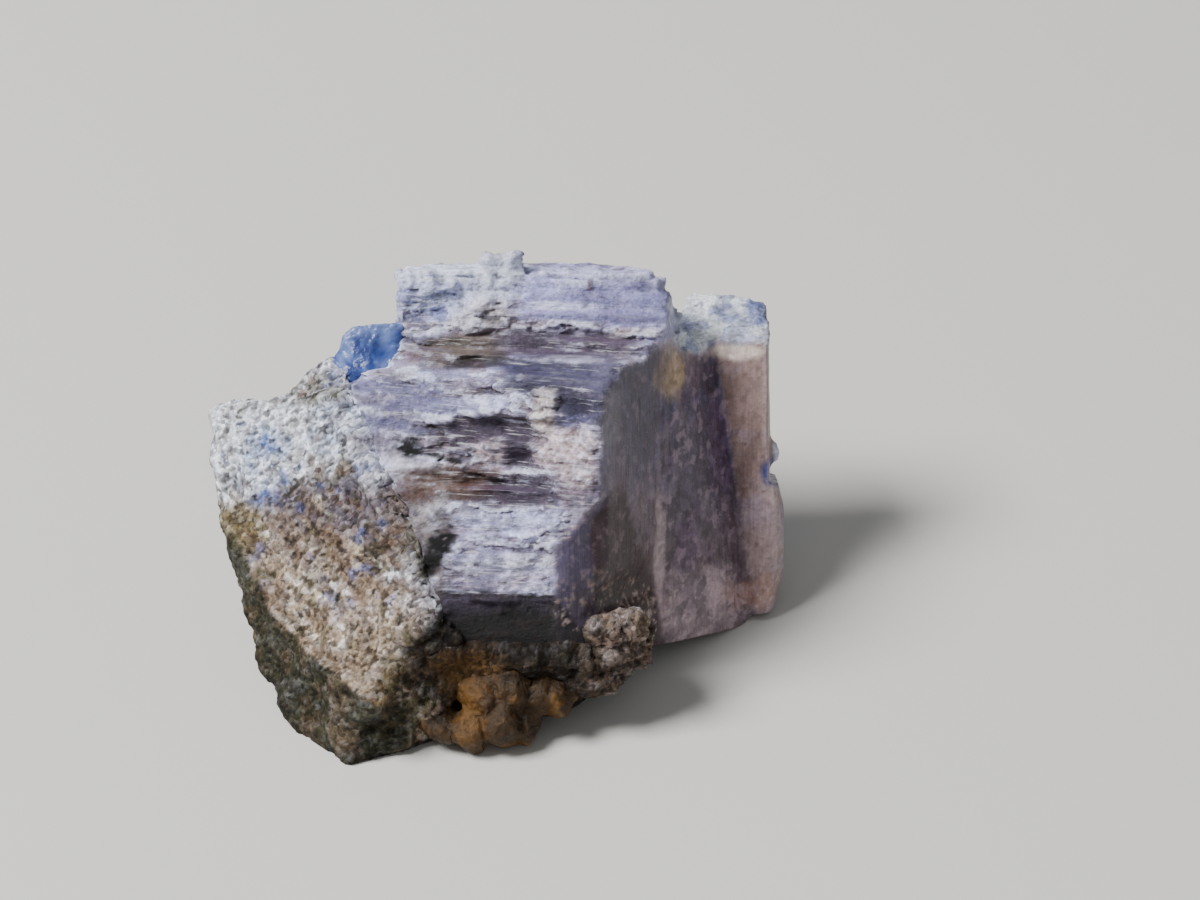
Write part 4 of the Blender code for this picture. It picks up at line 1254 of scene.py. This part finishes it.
def makeHoney():
    piece = pieceFrom("honey_crystals", "honey_cluster", honeyLook["voxel"])
    growOnto(piece, "matrix_rock", 0.5, 0.2)
    places = neighbourMean(piece, pointsOf(piece), 8)  # lobes grown into each other
    setPoints(piece, places)
    normals = normalsOf(piece)
    push = ridgedNoise(places / mm * 0.6, 2, 111) * 0.22 + ridgedNoise(places / mm * 1.9, 3, 112) * 0.09 + 0.06
    base = ramp(places[:, 2] / mm, 0.0, 0.3)
    setPoints(piece, places + normals * (push * base)[:, None] * mm)
    places = pointsOf(piece)
    cloud = layeredNoise(places / mm * 0.8, 3, 113)
    spots = layeredNoise(places / mm * 2.4, 3, 114)
    edge = edgeAmount(piece, places, normalsOf(piece), 4)
    tint = mixed(honeyLook["brown"], honeyLook["gold"], ramp(cloud + spots * 0.4, -0.1, 0.35))
    tint = mixed(tint, honeyLook["dark"], ramp(-cloud + spots * 0.5, 0.2, 0.6) * 0.7)
    # darker in hollows: painted shade; paler on ridges: painted highlight
    tint = mixed(tint, honeyLook["dark"], ramp(-edge, 0.01, 0.08) * 0.8)
    tint = mixed(tint, honeyLook["pale"], ramp(edge, 0.02, 0.07) * 0.4)
    paint(piece, "tint", tint)
    material, tree, shader = newMaterial("honey-brown crystal")
    place = add(tree, "ShaderNodeTexCoord").outputs["Object"]
    haze = noiseNode(tree, "surface", place, 5200.0, 5.0, 0.65)
    light = mapped(tree, "cloud light", haze, 0.3, 0.7, 0.65, 1.35)
    clouded = add(tree, "ShaderNodeVectorMath", "clouded", {0: readColour(tree, "tint"), "Scale": light},
        operation="SCALE").outputs[0]
    tree.links.new(clouded, shader.inputs["Base Color"])
    bump = add(tree, "ShaderNodeBump", "surface relief", {"Strength": 0.8, "Distance": 0.00014, "Height": haze})
    tree.links.new(bump.outputs[0], shader.inputs["Normal"])
    shader.inputs["Roughness"].default_value = honeyLook["roughness"]
    shader.inputs["Specular IOR Level"].default_value = honeyLook["specular"]
    shader.inputs["Transmission Weight"].default_value = honeyLook["transmission"]
    shader.inputs["IOR"].default_value = honeyLook["index"]
    piece.data.materials.append(material)
    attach(piece, "root")
    return piece


print("honey crystals")
makeHoney()

# Floor, lights and camera
studio = {
    "floor": colour(206, 204, 198),
    "keyPlace": (-0.31, -0.08, 0.42),
    "keySize": 0.20,
    "keyPower": 5.5,
    "fillPlace": (0.05, -0.45, 0.35),
    "fillSize": 0.5,
    "fillPower": 0.25,
    "sky": 0.26,
    "skyTint": (0.92, 0.95, 1.0, 1.0),
    "aim": (0.0, 0.0, 0.006),  # where the lights point
}


def makeStudio():
    deselectAll()
    bpy.ops.mesh.primitive_plane_add(size=2.0, location=(0.0, 0.0, 0.0))
    floor = bpy.context.object
    floor.name = "floor"
    material, shader = newMaterial("pale floor")[::2]
    shader.inputs["Base Color"].default_value = (*studio["floor"], 1.0)
    shader.inputs["Roughness"].default_value = 0.8
    floor.data.materials.append(material)
    for name, place, size, power in (
        ("key light", studio["keyPlace"], studio["keySize"], studio["keyPower"]),
        ("fill light", studio["fillPlace"], studio["fillSize"], studio["fillPower"]),
    ):
        lamp = bpy.data.lights.new(name, "AREA")
        lamp.size = size
        lamp.energy = power
        holder = bpy.data.objects.new(name, lamp)
        holder.location = place
        holder.rotation_euler = (Vector(studio["aim"]) - Vector(place)).to_track_quat("-Z", "Y").to_euler()
        bpy.context.scene.collection.objects.link(holder)
    world = bpy.data.worlds.new("studio")
    world.use_nodes = True
    world.node_tree.nodes["Background"].inputs[0].default_value = studio["skyTint"]
    world.node_tree.nodes["Background"].inputs[1].default_value = studio["sky"]
    bpy.context.scene.world = world
    camera = bpy.data.cameras.new("camera")
    camera.lens = frontView["lens"]
    camera.sensor_width = frontView["sensor"]
    camera.clip_start = 0.005
    holder = bpy.data.objects.new("camera", camera)
    holder.location = viewPlace
    holder.rotation_euler = Vector(viewAhead).to_track_quat("-Z", "Y").to_euler()
    bpy.context.scene.collection.objects.link(holder)
    bpy.context.scene.camera = holder


print("studio")
makeStudio()
